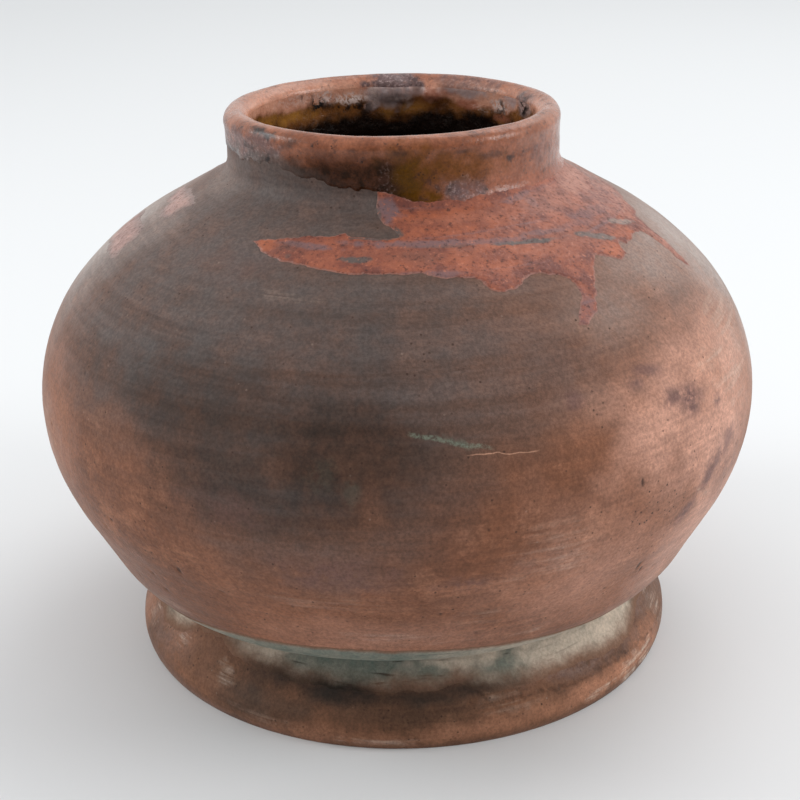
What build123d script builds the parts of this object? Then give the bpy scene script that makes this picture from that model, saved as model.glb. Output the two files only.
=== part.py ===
from build123d import *
from math import asin, atan2, cos, degrees, hypot, radians, sin, sqrt
import os

# Squat earthenware jar with a ring foot, a short collar, a rolled lip and runs of glaze.
# Millimetres, +Z up. It stands on z = 0, its turning axis is Z and its front faces -Y.
# Every clay piece is turned about Z, so a profile point is (radius, height).

# Body
BELLY_RADIUS = 150.0  # widest outer radius
WALL = 7.5  # clay wall and floor
TUCK_RADIUS = 27.6  # rounding where the body turns under, towards the foot
LOWER_LENGTH = 28.0  # straight stretch of the lower body
LOWER_SLOPE = 27.7  # degrees that this stretch leans out from upright
LOWER_RADIUS = 74.4  # rounding from that stretch up to the belly
UPPER_RADIUS = 74.7  # rounding just above the belly
UPPER_ANGLE = 39.6  # degrees that this rounding turns through
SHOULDER_RADIUS = 119.0  # flatter rounding of the shoulder
SHOULDER_ANGLE = 60.8  # degrees from the belly to the shoulder's straight slope
FLOOR_RADIUS = 74.0  # floor disc at its underside
FLOOR_BEVEL = 3.0  # how much wider the disc is at its top

# Collar and lip
MOUTH_RADIUS = 57.8  # clear radius of the mouth, inside the glaze
NECK_WALL = 9.3  # clay wall of the collar
NECK_HEIGHT = 17.8  # from the collar's root on the shoulder to the lip's seat
NECK_OUTER_ROUND = 9.0  # hollow rounding at the collar's root, outside
NECK_INNER_ROUND = 6.0  # rounded ridge at the collar's root, inside
NECK_FLANGE = 9.0  # straight slope that the collar carries beyond its root
LIP_OVERHANG = 0.3  # how far the rolled lip stands out past the collar

# Foot
FOOT_HEIGHT = 37.7  # from the sole to the underside of the body
FOOT_RADIUS = 117.5  # widest radius of the foot
FOOT_BEAD_RADIUS = 11.0  # rounding of its swollen lower edge
FOOT_BEAD_HEIGHT = 6.0  # height of the widest level
FOOT_SEAT = 15.0  # width of the ring's top face
FOOT_SOLE = 20.0  # width of the ring's sole
CREVICE = 3.0  # how far the ring's top edge lies inside the body's turned-under edge

# Luting slip in the joints
SLIP_WIDTH = 3.6
SLIP_DEPTH = 1.2

# Coats
LINING_THICKNESS = 0.6  # glaze inside
RIM_THICKNESS = 0.6  # glaze on the lip and collar
RUN_THICKNESS = 0.9  # red glaze run on the shoulder
FLAKE_THICKNESS = 0.7  # flakes of glaze on the left shoulder
LIME_DROP = 24.0  # how far down the foot the crust could come
LIME_THICKNESS = 1.2  # thickness of the crust at that level

# Ragged edges go round the jar, by degrees to the right of the front.
# The rim's glaze: how high above the collar's root it ends, as a part of the collar's height
RIM_EDGE_RATIO = [
    (-180, 0.28), (-150, 0.17), (-120, 0.45), (-90, 0.68), (-62, 0.71), (-52, 0.77), (-43, 0.8),
    (-35, 0.66), (-24, 0.53), (-15, 0.44), (-7, 0.38), (-3, 0.32), (3, 0.2), (7, 0.1), (11, 0.04),
    (14, 0.1), (18, 0.04), (27, 0.06), (45, 0.03), (60, 0.06), (90, 0.03), (120, 0.06), (150, 0.14),
]
# The crust: how far down the foot it comes, as a part of its full drop
LIME_EDGE_RATIO = [
    (-180, 0.33), (-140, 0.5), (-110, 0.42), (-90, 0.58), (-75, 0.7), (-66, 0.8), (-58, 0.73),
    (-52, 0.42), (-44, 0.36), (-38, 0.52), (-29, 0.56), (-15, 0.62), (0, 0.6), (7, 0.62), (11, 0.52),
    (17, 0.72), (26, 0.77), (36, 0.77), (46, 0.82), (54, 0.86), (61, 0.73), (67, 0.55), (80, 0.5),
    (100, 0.38), (140, 0.5),
]
# The red run: its outline, with the distance out from the collar as a part of the shoulder's width
RUN_EDGE_RATIO = [
    (-38, 0.24), (-32, 0.195), (-22, 0.17), (-12.5, 0.145), (-5, 0.165), (-1.5, 0.15), (-1.5, 0.08),
    (-3.5, 0), (10, 0), (30, 0), (50, 0), (70, 0), (90, 0), (100, 0.04), (103, 0.13), (98, 0.25),
    (90, 0.31), (82, 0.35), (76, 0.42), (73.5, 0.54), (71.8, 0.67), (70, 0.64), (69, 0.5), (66, 0.435),
    (59, 0.44), (55.5, 0.48), (52, 0.485), (47, 0.43), (43.5, 0.47), (40, 0.565), (36.3, 0.64),
    (33, 0.685), (31.5, 0.67), (34, 0.61), (36.3, 0.53), (34.5, 0.46), (29, 0.435), (25.5, 0.475),
    (21.5, 0.5), (18, 0.475), (15.5, 0.42), (8, 0.395), (0, 0.373), (-10, 0.375), (-20, 0.343),
    (-30, 0.305), (-36, 0.265),
]
# Flakes, with their distance out, half length and half width as parts of the shoulder's width
FLAKE_RATIO = [(-83.5, 0.25, 0.22, 0.075), (-85, 0.53, 0.24, 0.09), (-105.5, 0.115, 0.095, 0.031)]


def polar(centre, radius, angle):
    """Point at a radius and an angle in degrees about a centre."""
    return (centre[0] + radius * cos(radians(angle)), centre[1] + radius * sin(radians(angle)))


def grooved(start, end):
    """Joint face from start to end, with the slip's groove sunk to the left of that direction."""
    length = hypot(end[0] - start[0], end[1] - start[1])
    step = ((end[0] - start[0]) / length, (end[1] - start[1]) / length)
    sink = (-step[1] * SLIP_DEPTH, step[0] * SLIP_DEPTH)
    near = (length - SLIP_WIDTH) / 2
    far = (length + SLIP_WIDTH) / 2
    first = (start[0] + step[0] * near, start[1] + step[1] * near)
    last = (start[0] + step[0] * far, start[1] + step[1] * far)
    first_sunk = (first[0] + sink[0], first[1] + sink[1])
    last_sunk = (last[0] + sink[0], last[1] + sink[1])
    return [start, first, first_sunk, last_sunk, last, end]


def slip_outline(face):
    """The four corners of the groove in a grooved joint face."""
    return face[1:5]


def plan_point(angle, part):
    """Point in plan, by its angle to the right of the front and its part of the shoulder's width."""
    radius = neck_outer + part * shoulder_width
    return (radius * sin(radians(angle)), -radius * cos(radians(angle)))


def above_edge(edge, base, spread):
    """Solid all round the jar, above a ragged edge whose height is the base and a part of the spread."""
    turns = [(angle + 180) / 360 for angle, part in edge] + [1.0]
    rings = []
    for radius in (neck_bore / 2, BELLY_RADIUS):
        places = [
            Vector(radius * sin(radians(angle)), -radius * cos(radians(angle)), base + part * spread)
            for angle, part in edge
        ]
        rings.append(Edge.make_spline(places, periodic=True, parameters=turns))
    return Solid.extrude(Face.make_surface_from_curves(*rings), Vector(0, 0, total_height))


# Body profile, built up from the underside
tuck_centre = (
    BELLY_RADIUS
    - LOWER_RADIUS * (1 - cos(radians(LOWER_SLOPE)))
    - LOWER_LENGTH * sin(radians(LOWER_SLOPE))
    - TUCK_RADIUS * cos(radians(LOWER_SLOPE)),
    FOOT_HEIGHT + TUCK_RADIUS,
)
tuck_end = polar(tuck_centre, TUCK_RADIUS, -LOWER_SLOPE)
lower_start = polar(tuck_end, LOWER_LENGTH, 90 - LOWER_SLOPE)
belly_height = lower_start[1] + LOWER_RADIUS * sin(radians(LOWER_SLOPE))
lower_centre = (BELLY_RADIUS - LOWER_RADIUS, belly_height)
upper_centre = (BELLY_RADIUS - UPPER_RADIUS, belly_height)
shoulder_centre = polar(upper_centre, UPPER_RADIUS - SHOULDER_RADIUS, UPPER_ANGLE)
slope_start = polar(shoulder_centre, SHOULDER_RADIUS, SHOULDER_ANGLE)
floor_top = FOOT_HEIGHT + WALL

# Collar profile: its root is where the collar's outside would meet the shoulder's straight slope
slope_out = (sin(radians(SHOULDER_ANGLE)), -cos(radians(SHOULDER_ANGLE)))
slope_normal = (cos(radians(SHOULDER_ANGLE)), sin(radians(SHOULDER_ANGLE)))
slope_foot = SHOULDER_ANGLE + 180
neck_bore = MOUTH_RADIUS + LINING_THICKNESS
neck_outer = neck_bore + NECK_WALL
shoulder_width = BELLY_RADIUS - neck_outer
root_height = slope_start[1] + (slope_start[0] - neck_outer) * slope_normal[0] / slope_normal[1]
lip_seat = root_height + NECK_HEIGHT
outer_round = (
    neck_outer + NECK_OUTER_ROUND,
    root_height + NECK_OUTER_ROUND * (1 - slope_normal[0]) / slope_normal[1],
)
inner_round = (
    neck_bore + NECK_INNER_ROUND,
    root_height
    + (NECK_INNER_ROUND - WALL - slope_normal[0] * (NECK_INNER_ROUND - NECK_WALL)) / slope_normal[1],
)
outer_round_end = polar(outer_round, NECK_OUTER_ROUND, slope_foot)
joint_reach = hypot(outer_round_end[0] - neck_outer, outer_round_end[1] - root_height) + NECK_FLANGE
lip_radius = (NECK_WALL + LIP_OVERHANG) / 2
lip_centre = (neck_bore + lip_radius, lip_seat + sqrt(lip_radius**2 - (NECK_WALL - lip_radius) ** 2))
lip_foot_angle = degrees(atan2(lip_seat - lip_centre[1], neck_outer - lip_centre[0]))
total_height = lip_centre[1] + lip_radius + RIM_THICKNESS


def slope_point(reach, depth):
    """Point on the shoulder's straight slope, by its distance from the root and its depth in the wall."""
    return (
        neck_outer + slope_out[0] * reach - slope_normal[0] * depth,
        root_height + slope_out[1] * reach - slope_normal[1] * depth,
    )


def draw_bowl_wall(depth):
    """Lower body, at a depth under its outer face, from the turned-under edge to the belly."""
    tuck_radius = TUCK_RADIUS - depth
    lower_radius = LOWER_RADIUS - depth
    CenterArc(tuck_centre, tuck_radius, -90, 90 - LOWER_SLOPE)
    Line(polar(tuck_centre, tuck_radius, -LOWER_SLOPE), polar(lower_centre, lower_radius, -LOWER_SLOPE))
    CenterArc(lower_centre, lower_radius, -LOWER_SLOPE, LOWER_SLOPE)


def draw_dome_wall(depth, end):
    """Upper body, at a depth under its outer face, from the belly to a point on the straight slope."""
    CenterArc(upper_centre, UPPER_RADIUS - depth, 0, UPPER_ANGLE)
    CenterArc(shoulder_centre, SHOULDER_RADIUS - depth, UPPER_ANGLE, SHOULDER_ANGLE - UPPER_ANGLE)
    Line(polar(shoulder_centre, SHOULDER_RADIUS - depth, SHOULDER_ANGLE), end)


def draw_shoulder_skin(thickness):
    """Closed outline of a coat on the shoulder, from the collar's root to where the shoulder rounds over."""
    for lift in (0, thickness):
        coat_radius = SHOULDER_RADIUS + lift
        slope_end = polar(outer_round, NECK_OUTER_ROUND - lift, slope_foot)
        CenterArc(shoulder_centre, coat_radius, UPPER_ANGLE, SHOULDER_ANGLE - UPPER_ANGLE)
        Line(polar(shoulder_centre, coat_radius, SHOULDER_ANGLE), slope_end)
    low_edge = polar(shoulder_centre, SHOULDER_RADIUS, UPPER_ANGLE)
    Line(low_edge, polar(low_edge, thickness, UPPER_ANGLE))
    Line(outer_round_end, polar(outer_round_end, thickness, SHOULDER_ANGLE))


# Joint faces, each with its groove in the piece below or around it
belly_joint = grooved((BELLY_RADIUS, belly_height), (BELLY_RADIUS - WALL, belly_height))
neck_joint = grooved(slope_point(joint_reach, 0), slope_point(joint_reach, WALL))
lip_joint = grooved((neck_outer, lip_seat), (neck_bore, lip_seat))
floor_joint = grooved((FLOOR_RADIUS + FLOOR_BEVEL, floor_top), (FLOOR_RADIUS, FOOT_HEIGHT))

# Foot profile: a swollen lower edge, and a straight slope from it up to the crevice under the body
foot_top = (tuck_centre[0] - CREVICE, FOOT_HEIGHT)
bead_centre = (FOOT_RADIUS - FOOT_BEAD_RADIUS, FOOT_BEAD_HEIGHT)
bead_distance = hypot(bead_centre[0] - foot_top[0], bead_centre[1] - foot_top[1])
bead_bearing = atan2(bead_centre[1] - foot_top[1], bead_centre[0] - foot_top[0])
foot_slope = degrees(bead_bearing + asin(FOOT_BEAD_RADIUS / bead_distance))
bead_start_angle = -degrees(asin(FOOT_BEAD_HEIGHT / FOOT_BEAD_RADIUS))
sole_edge = polar(bead_centre, FOOT_BEAD_RADIUS, bead_start_angle)
bead_end = polar(bead_centre, FOOT_BEAD_RADIUS, foot_slope + 90)
foot_joint = grooved(foot_top, (foot_top[0] - FOOT_SEAT, FOOT_HEIGHT))
lime_low = polar(foot_top, LIME_DROP, foot_slope)

os.makedirs("parts", exist_ok=True)

# Floor disc
with BuildPart() as floor_disc:
    with BuildSketch(Plane.XZ):
        with BuildLine():
            Polyline((0, FOOT_HEIGHT), floor_joint[-1], floor_joint[0], (0, floor_top), close=True)
        make_face()
    revolve(axis=Axis.Z)
floor_disc.part.label = "floor_disc"
export_step(floor_disc.part, "parts/floor_disc.step")

# Lower bowl, with the grooves for the belly's and the floor's slip
with BuildPart() as lower_bowl:
    with BuildSketch(Plane.XZ):
        with BuildLine():
            draw_bowl_wall(0)
            Polyline(*belly_joint)
            draw_bowl_wall(WALL)
            Line((tuck_centre[0], floor_top), floor_joint[0])
            Polyline(*floor_joint)
            Line(floor_joint[-1], (tuck_centre[0], FOOT_HEIGHT))
        make_face()
    revolve(axis=Axis.Z)
lower_bowl.part.label = "lower_bowl"
export_step(lower_bowl.part, "parts/lower_bowl.step")

# Shoulder dome, with the groove for the collar's slip
with BuildPart() as shoulder_dome:
    with BuildSketch(Plane.XZ):
        with BuildLine():
            draw_dome_wall(0, neck_joint[0])
            Polyline(*neck_joint)
            draw_dome_wall(WALL, neck_joint[-1])
            Line(belly_joint[-1], belly_joint[0])
        make_face()
    revolve(axis=Axis.Z)
shoulder_dome.part.label = "shoulder_dome"
export_step(shoulder_dome.part, "parts/shoulder_dome.step")

# Collar, with its flared root and the groove for the lip's slip
with BuildPart() as neck_collar:
    with BuildSketch(Plane.XZ):
        with BuildLine():
            Line(neck_joint[0], outer_round_end)
            CenterArc(outer_round, NECK_OUTER_ROUND, 180, SHOULDER_ANGLE)
            Line((neck_outer, outer_round[1]), lip_joint[0])
            Polyline(*lip_joint)
            Line(lip_joint[-1], (neck_bore, inner_round[1]))
            CenterArc(inner_round, NECK_INNER_ROUND, 180, SHOULDER_ANGLE)
            Line(polar(inner_round, NECK_INNER_ROUND, slope_foot), neck_joint[-1])
            Line(neck_joint[-1], neck_joint[0])
        make_face()
    revolve(axis=Axis.Z)
neck_collar.part.label = "neck_collar"
export_step(neck_collar.part, "parts/neck_collar.step")

# Rolled lip, flush with the collar inside and standing out a little past it outside
with BuildPart() as lip_coil:
    with BuildSketch(Plane.XZ):
        with BuildLine():
            Line(lip_joint[0], lip_joint[-1])
            Line(lip_joint[-1], (neck_bore, lip_centre[1]))
            CenterArc(lip_centre, lip_radius, lip_foot_angle, 180 - lip_foot_angle)
        make_face()
    revolve(axis=Axis.Z)
lip_coil.part.label = "lip_coil"
export_step(lip_coil.part, "parts/lip_coil.step")

# Foot ring, with the groove for its slip
with BuildPart() as foot_ring:
    with BuildSketch(Plane.XZ):
        with BuildLine():
            Polyline(*foot_joint)
            Line(foot_joint[-1], (sole_edge[0] - FOOT_SOLE, 0))
            Line((sole_edge[0] - FOOT_SOLE, 0), sole_edge)
            CenterArc(bead_centre, FOOT_BEAD_RADIUS, bead_start_angle, foot_slope + 90 - bead_start_angle)
            Line(bead_end, foot_top)
        make_face()
    revolve(axis=Axis.Z)
foot_ring.part.label = "foot_ring"
export_step(foot_ring.part, "parts/foot_ring.step")

# Luting slip: one ring in each joint's groove
slip_joints = {
    "floor_slip": floor_joint,
    "belly_slip": belly_joint,
    "neck_slip": neck_joint,
    "lip_slip": lip_joint,
    "foot_slip": foot_joint,
}
for slip_name, joint in slip_joints.items():
    with BuildPart() as slip_ring:
        with BuildSketch(Plane.XZ):
            with BuildLine():
                Polyline(*slip_outline(joint), close=True)
            make_face()
        revolve(axis=Axis.Z)
    slip_ring.part.label = slip_name
    export_step(slip_ring.part, f"parts/{slip_name}.step")

# Lining glaze: one thin skin over the floor, the walls and the collar's bore, up to the lip
with BuildPart() as lining_glaze:
    with BuildSketch(Plane.XZ):
        with BuildLine():
            for coat in (0, LINING_THICKNESS):
                depth = WALL + coat
                round_end = polar(inner_round, NECK_INNER_ROUND + coat, slope_foot)
                Line((0, FOOT_HEIGHT + depth), (tuck_centre[0], FOOT_HEIGHT + depth))
                draw_bowl_wall(depth)
                draw_dome_wall(depth, round_end)
                CenterArc(inner_round, NECK_INNER_ROUND + coat, 180, SHOULDER_ANGLE)
                Line((neck_bore - coat, inner_round[1]), (neck_bore - coat, lip_centre[1]))
            Line((neck_bore, lip_centre[1]), (MOUTH_RADIUS, lip_centre[1]))
            Line((0, floor_top), (0, floor_top + LINING_THICKNESS))
        make_face()
    revolve(axis=Axis.Z)
lining_glaze.part.label = "lining_glaze"
export_step(lining_glaze.part, "parts/lining_glaze.step")

# Rim glaze: over the lip and down the collar to a ragged edge
rim_radius = lip_radius + RIM_THICKNESS
rim_outer = neck_outer + RIM_THICKNESS
rim_round = NECK_OUTER_ROUND - RIM_THICKNESS
rim_lip_foot = sqrt(rim_radius**2 - (rim_outer - lip_centre[0]) ** 2)
rim_lip_angle = -degrees(asin(rim_lip_foot / rim_radius))
with BuildPart() as rim_glaze:
    with BuildSketch(Plane.XZ):
        with BuildLine():
            CenterArc(lip_centre, lip_radius, lip_foot_angle, 180 - lip_foot_angle)
            Line(lip_joint[0], (neck_outer, outer_round[1]))
            CenterArc(outer_round, NECK_OUTER_ROUND, 180, SHOULDER_ANGLE)
            Line(outer_round_end, polar(outer_round, rim_round, slope_foot))
            CenterArc(outer_round, rim_round, 180, SHOULDER_ANGLE)
            Line((rim_outer, outer_round[1]), (rim_outer, lip_centre[1] - rim_lip_foot))
            CenterArc(lip_centre, rim_radius, rim_lip_angle, 180 - rim_lip_angle)
            Line((neck_bore - RIM_THICKNESS, lip_centre[1]), (neck_bore, lip_centre[1]))
        make_face()
    revolve(axis=Axis.Z)
    add(above_edge(RIM_EDGE_RATIO, root_height, NECK_HEIGHT), mode=Mode.INTERSECT)
rim_glaze.part.label = "rim_glaze"
export_step(rim_glaze.part, "parts/rim_glaze.step")

# Red glaze run over the front and right of the shoulder
with BuildPart() as shoulder_run:
    with BuildSketch(Plane.XZ):
        with BuildLine():
            draw_shoulder_skin(RUN_THICKNESS)
        make_face()
    revolve(axis=Axis.Z)
    with BuildSketch(Plane.XY):
        with BuildLine():
            Spline(*[plan_point(angle, part) for angle, part in RUN_EDGE_RATIO], periodic=True)
        make_face()
    extrude(amount=total_height, mode=Mode.INTERSECT)
shoulder_run.part.label = "shoulder_run"
export_step(shoulder_run.part, "parts/shoulder_run.step")

# Flakes of glaze on the left shoulder
with BuildPart() as shoulder_flakes:
    with BuildSketch(Plane.XZ):
        with BuildLine():
            draw_shoulder_skin(FLAKE_THICKNESS)
        make_face()
    revolve(axis=Axis.Z)
    with BuildSketch(Plane.XY):
        for angle, part, half_length, half_width in FLAKE_RATIO:
            with Locations(Location((*plan_point(angle, part), 0), (0, 0, angle))):
                Ellipse(half_length * shoulder_width, half_width * shoulder_width)
    extrude(amount=total_height, mode=Mode.INTERSECT)
shoulder_flakes.part.label = "shoulder_flakes"
export_step(shoulder_flakes.part, "parts/shoulder_flakes.step")

# Pale crust in the crevice between the body and the foot
with BuildPart() as crevice_lime:
    with BuildSketch(Plane.XZ):
        with BuildLine():
            Polyline(
                foot_top,
                lime_low,
                polar(lime_low, LIME_THICKNESS, foot_slope + 90),
                (tuck_centre[0], FOOT_HEIGHT),
                close=True,
            )
        make_face()
    revolve(axis=Axis.Z)
    add(above_edge(LIME_EDGE_RATIO, FOOT_HEIGHT, lime_low[1] - FOOT_HEIGHT), mode=Mode.INTERSECT)
crevice_lime.part.label = "crevice_lime"
export_step(crevice_lime.part, "parts/crevice_lime.step")
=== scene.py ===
import math

import bpy
import numpy as np
from mathutils import Matrix, Vector


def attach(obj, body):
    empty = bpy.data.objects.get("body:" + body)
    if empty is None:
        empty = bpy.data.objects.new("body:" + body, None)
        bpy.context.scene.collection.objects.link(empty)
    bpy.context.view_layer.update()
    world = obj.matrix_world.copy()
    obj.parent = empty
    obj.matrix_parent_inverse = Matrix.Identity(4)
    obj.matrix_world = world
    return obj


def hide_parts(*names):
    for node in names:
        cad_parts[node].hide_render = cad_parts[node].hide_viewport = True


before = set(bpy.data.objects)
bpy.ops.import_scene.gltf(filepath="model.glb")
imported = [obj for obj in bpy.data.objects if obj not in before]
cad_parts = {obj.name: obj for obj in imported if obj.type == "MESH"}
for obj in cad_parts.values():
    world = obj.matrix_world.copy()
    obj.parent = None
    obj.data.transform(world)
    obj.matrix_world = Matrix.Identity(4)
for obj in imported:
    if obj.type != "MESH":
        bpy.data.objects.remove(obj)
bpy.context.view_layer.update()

MM = 0.001

# Camera
LENS = 67.95
SENSOR = 36.0
CAMERA_DISTANCE = 0.6577
CAMERA_ELEVATION = 22.4
CAMERA_ROLL = -0.92
AIM = (0.00125, 0.0, 0.0993)

# Body outline, the same values as the solids
BELLY_RADIUS = 150.0
WALL = 7.5
TUCK_RADIUS = 27.6
LOWER_LENGTH = 28.0
LOWER_SLOPE = 27.7
LOWER_RADIUS = 74.4
UPPER_RADIUS = 74.7
UPPER_ANGLE = 39.6
SHOULDER_RADIUS = 119.0
SHOULDER_ANGLE = 60.8
FLOOR_RADIUS = 74.0
FLOOR_BEVEL = 3.0
CREVICE = 3.0
FOOT_SEAT = 15.0
FOOT_HEIGHT = 37.7
NECK_BORE = 58.4
NECK_WALL = 9.3
NECK_HEIGHT = 17.8
OUTER_ROUND = 9.0
INNER_ROUND = 6.0
NECK_FLANGE = 9.0
LIP_OVERHANG = 0.3
LIP_ROUND_END = -10.0
LIP_BLEND = 10.0
FOOT_RADIUS = 117.5
FOOT_BEAD = 11.0
FOOT_BEAD_HEIGHT = 6.0
FOOT_SOLE = 20.0
FOOT_SHIFT = 1.5
FOOT_HIDDEN = 6.0
AXIS_GAP = 0.5
LINING = 0.6
SLIP_WIDTH = 3.6
SLIP_DEPTH = 1.2

# Drops count from this far under the neck's root, and from the root itself below the straight slope
DROP_START = 2.1

# Points on each stretch of an outline
LINE_POINTS = 40
ARC_POINTS = 120
BLEND_POINTS = 60

# Mesh fineness
BODY_COLUMNS = 900
NECK_COLUMNS = 720
INSIDE_COLUMNS = 600
BODY_STEP = 1.2
NECK_STEP = 0.7
COAT_STEP = 0.65
RIM_STEP = 0.7
RIM_COLUMNS = 620
FOOT_STEP = 0.9
LIME_STEP = 0.5
INSIDE_STEP = 2.4
INSIDE_FINE = 26.0
# How deep a coat is rooted in what it lies on, and how fast its thickness falls outside its edge
COAT_ROOT = 0.35
COAT_FALL = 0.4
# How much shorter places are round the ring than down the wall, for relief and for tones that run round it
RELIEF_SQUEEZE = 0.05
TONE_SQUEEZE = 0.06


def unit(angle):
    """Direction of an angle in degrees in the plane of the outline."""
    return np.array([math.cos(math.radians(angle)), math.sin(math.radians(angle))])


# Points that the outline turns on
tuck_centre = np.array([
    BELLY_RADIUS - LOWER_RADIUS * (1 - math.cos(math.radians(LOWER_SLOPE)))
    - LOWER_LENGTH * math.sin(math.radians(LOWER_SLOPE))
    - TUCK_RADIUS * math.cos(math.radians(LOWER_SLOPE)),
    FOOT_HEIGHT + TUCK_RADIUS,
])
tuck_end = tuck_centre + TUCK_RADIUS * unit(-LOWER_SLOPE)
cone_end = tuck_end + LOWER_LENGTH * unit(90 - LOWER_SLOPE)
lower_centre = cone_end - LOWER_RADIUS * unit(-LOWER_SLOPE)
upper_centre = np.array([BELLY_RADIUS - UPPER_RADIUS, lower_centre[1]])
shoulder_centre = upper_centre + (UPPER_RADIUS - SHOULDER_RADIUS) * unit(UPPER_ANGLE)
slope_start = shoulder_centre + SHOULDER_RADIUS * unit(SHOULDER_ANGLE)
slope_normal = unit(SHOULDER_ANGLE)
slope_along = unit(SHOULDER_ANGLE - 90)
NECK_OUTER = NECK_BORE + NECK_WALL
LIP_RADIUS = (NECK_WALL + LIP_OVERHANG) / 2
slope_length = (slope_start[0] - NECK_OUTER) / slope_along[0]
root = slope_start - slope_length * slope_along
round_reach = OUTER_ROUND * math.tan(math.radians(SHOULDER_ANGLE / 2))
outer_round_centre = root + np.array([OUTER_ROUND, round_reach])
inner_round_centre = np.array([NECK_BORE + INNER_ROUND, 0])
inner_slope_point = root - WALL * slope_normal
inner_drop = (inner_round_centre[0] - INNER_ROUND * slope_normal[0] - inner_slope_point[0]) / slope_along[0]
inner_round_centre[1] = (inner_slope_point + inner_drop * slope_along + INNER_ROUND * slope_normal)[1]
joint_reach = round_reach + NECK_FLANGE
lip_rise = math.sqrt(LIP_RADIUS**2 - (NECK_WALL - LIP_RADIUS) ** 2)
lip_centre = np.array([NECK_BORE + LIP_RADIUS, root[1] + NECK_HEIGHT + lip_rise])
shoulder_drop = slope_length
upper_drop = shoulder_drop + SHOULDER_RADIUS * math.radians(SHOULDER_ANGLE - UPPER_ANGLE)
belly_drop = upper_drop + UPPER_RADIUS * math.radians(UPPER_ANGLE)
cone_drop = belly_drop + LOWER_RADIUS * math.radians(LOWER_SLOPE)
tuck_drop = cone_drop + LOWER_LENGTH
base_drop = tuck_drop + TUCK_RADIUS * math.radians(90 - LOWER_SLOPE)


class Outline:
    """A turned outline with its normals, read by a distance along it."""

    def __init__(self):
        self.reach, self.points, self.normals = [], [], []

    def add(self, start, end, points, normals):
        self.reach.append(np.linspace(start, end, len(points)))
        self.points.append(points)
        self.normals.append(normals)

    def line(self, start, end, first, last, side=1):
        """A straight stretch with the normal to its left, or to its right where the side is -1."""
        along = np.asarray(last) - np.asarray(first)
        normal = side * np.array([-along[1], along[0]]) / np.hypot(*along)
        self.add(start, end, np.linspace(first, last, LINE_POINTS), np.repeat(normal[None], LINE_POINTS, 0))

    def arc(self, start, end, centre, radius, first, last):
        """An arc with the normal away from its centre, or towards it where the radius is negative."""
        angles = np.radians(np.linspace(first, last, ARC_POINTS))
        normals = np.stack([np.cos(angles), np.sin(angles)], 1)
        self.add(start, end, centre + abs(radius) * normals, normals * np.sign(radius))

    def end(self):
        return self.reach[-1][-1] if self.reach else 0.0

    def line_on(self, first, last, side=1):
        """A line that goes on from what is there by its true length."""
        length = np.hypot(*(np.asarray(last) - np.asarray(first)))
        self.line(self.end(), self.end() + length, first, last, side)

    def arc_on(self, centre, radius, first, last):
        """An arc that goes on from what is there by its true length."""
        length = abs(radius) * math.radians(abs(last - first))
        self.arc(self.end(), self.end() + length, centre, radius, first, last)

    def close(self):
        self.reach = np.concatenate(self.reach)
        self.points = np.concatenate(self.points)
        self.normals = np.concatenate(self.normals)
        return self

    def at(self, reach):
        """Points and normals at each distance."""
        points = np.stack([np.interp(reach, self.reach, self.points[:, k]) for k in (0, 1)], -1)
        normals = np.stack([np.interp(reach, self.reach, self.normals[:, k]) for k in (0, 1)], -1)
        return points, normals / np.linalg.norm(normals, axis=-1, keepdims=True)


def blend_points(first, first_along, last, last_along):
    """A smooth curve between two points with given tangents, and its normals."""
    s = np.linspace(0, 1, BLEND_POINTS)[:, None]
    span = np.hypot(*(np.asarray(last) - first))
    points = ((2 * s**3 - 3 * s**2 + 1) * first + (s**3 - 2 * s**2 + s) * span * np.asarray(first_along)
              + (3 * s**2 - 2 * s**3) * last + (s**3 - s**2) * span * np.asarray(last_along))
    along = np.gradient(points, axis=0)
    normals = np.stack([-along[:, 1], along[:, 0]], 1)
    return points, normals / np.linalg.norm(normals, axis=1, keepdims=True)


def slope_drop(reach):
    """Drop of a place on the straight slope, by its distance from the root."""
    return reach - DROP_START * (1 - reach / slope_length)


def wall_outline():
    """The outer wall from inside the lip, over it and down to the base."""
    wall = Outline()
    lip_side = lip_centre + LIP_RADIUS * unit(LIP_ROUND_END)
    neck_top = np.array([NECK_OUTER, root[1] + LIP_BLEND])
    lip_drop = root[1] - lip_side[1] - DROP_START
    blend_drop = -LIP_BLEND - DROP_START
    inside_drop = lip_drop - LIP_RADIUS * math.radians(180 - LIP_ROUND_END)
    wall.arc(inside_drop, lip_drop, lip_centre, LIP_RADIUS, 180, LIP_ROUND_END)
    round_drop = -round_reach - DROP_START
    wall.add(lip_drop, blend_drop, *blend_points(lip_side, unit(LIP_ROUND_END - 90), neck_top, (0, -1)))
    wall.line(blend_drop, round_drop, neck_top, root + np.array([0, round_reach]))
    slope_top = slope_drop(round_reach)
    wall.arc(round_drop, slope_top, outer_round_centre, -OUTER_ROUND, 180, 180 + SHOULDER_ANGLE)
    wall.line(slope_top, shoulder_drop, root + round_reach * slope_along, slope_start)
    wall.arc(shoulder_drop, upper_drop, shoulder_centre, SHOULDER_RADIUS, SHOULDER_ANGLE, UPPER_ANGLE)
    wall.arc(upper_drop, belly_drop, upper_centre, UPPER_RADIUS, UPPER_ANGLE, 0)
    wall.arc(belly_drop, cone_drop, lower_centre, LOWER_RADIUS, 0, -LOWER_SLOPE)
    wall.line(cone_drop, tuck_drop, cone_end, tuck_end)
    wall.arc(tuck_drop, base_drop, tuck_centre, TUCK_RADIUS, -LOWER_SLOPE, -90)
    return wall.close(), inside_drop


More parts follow.
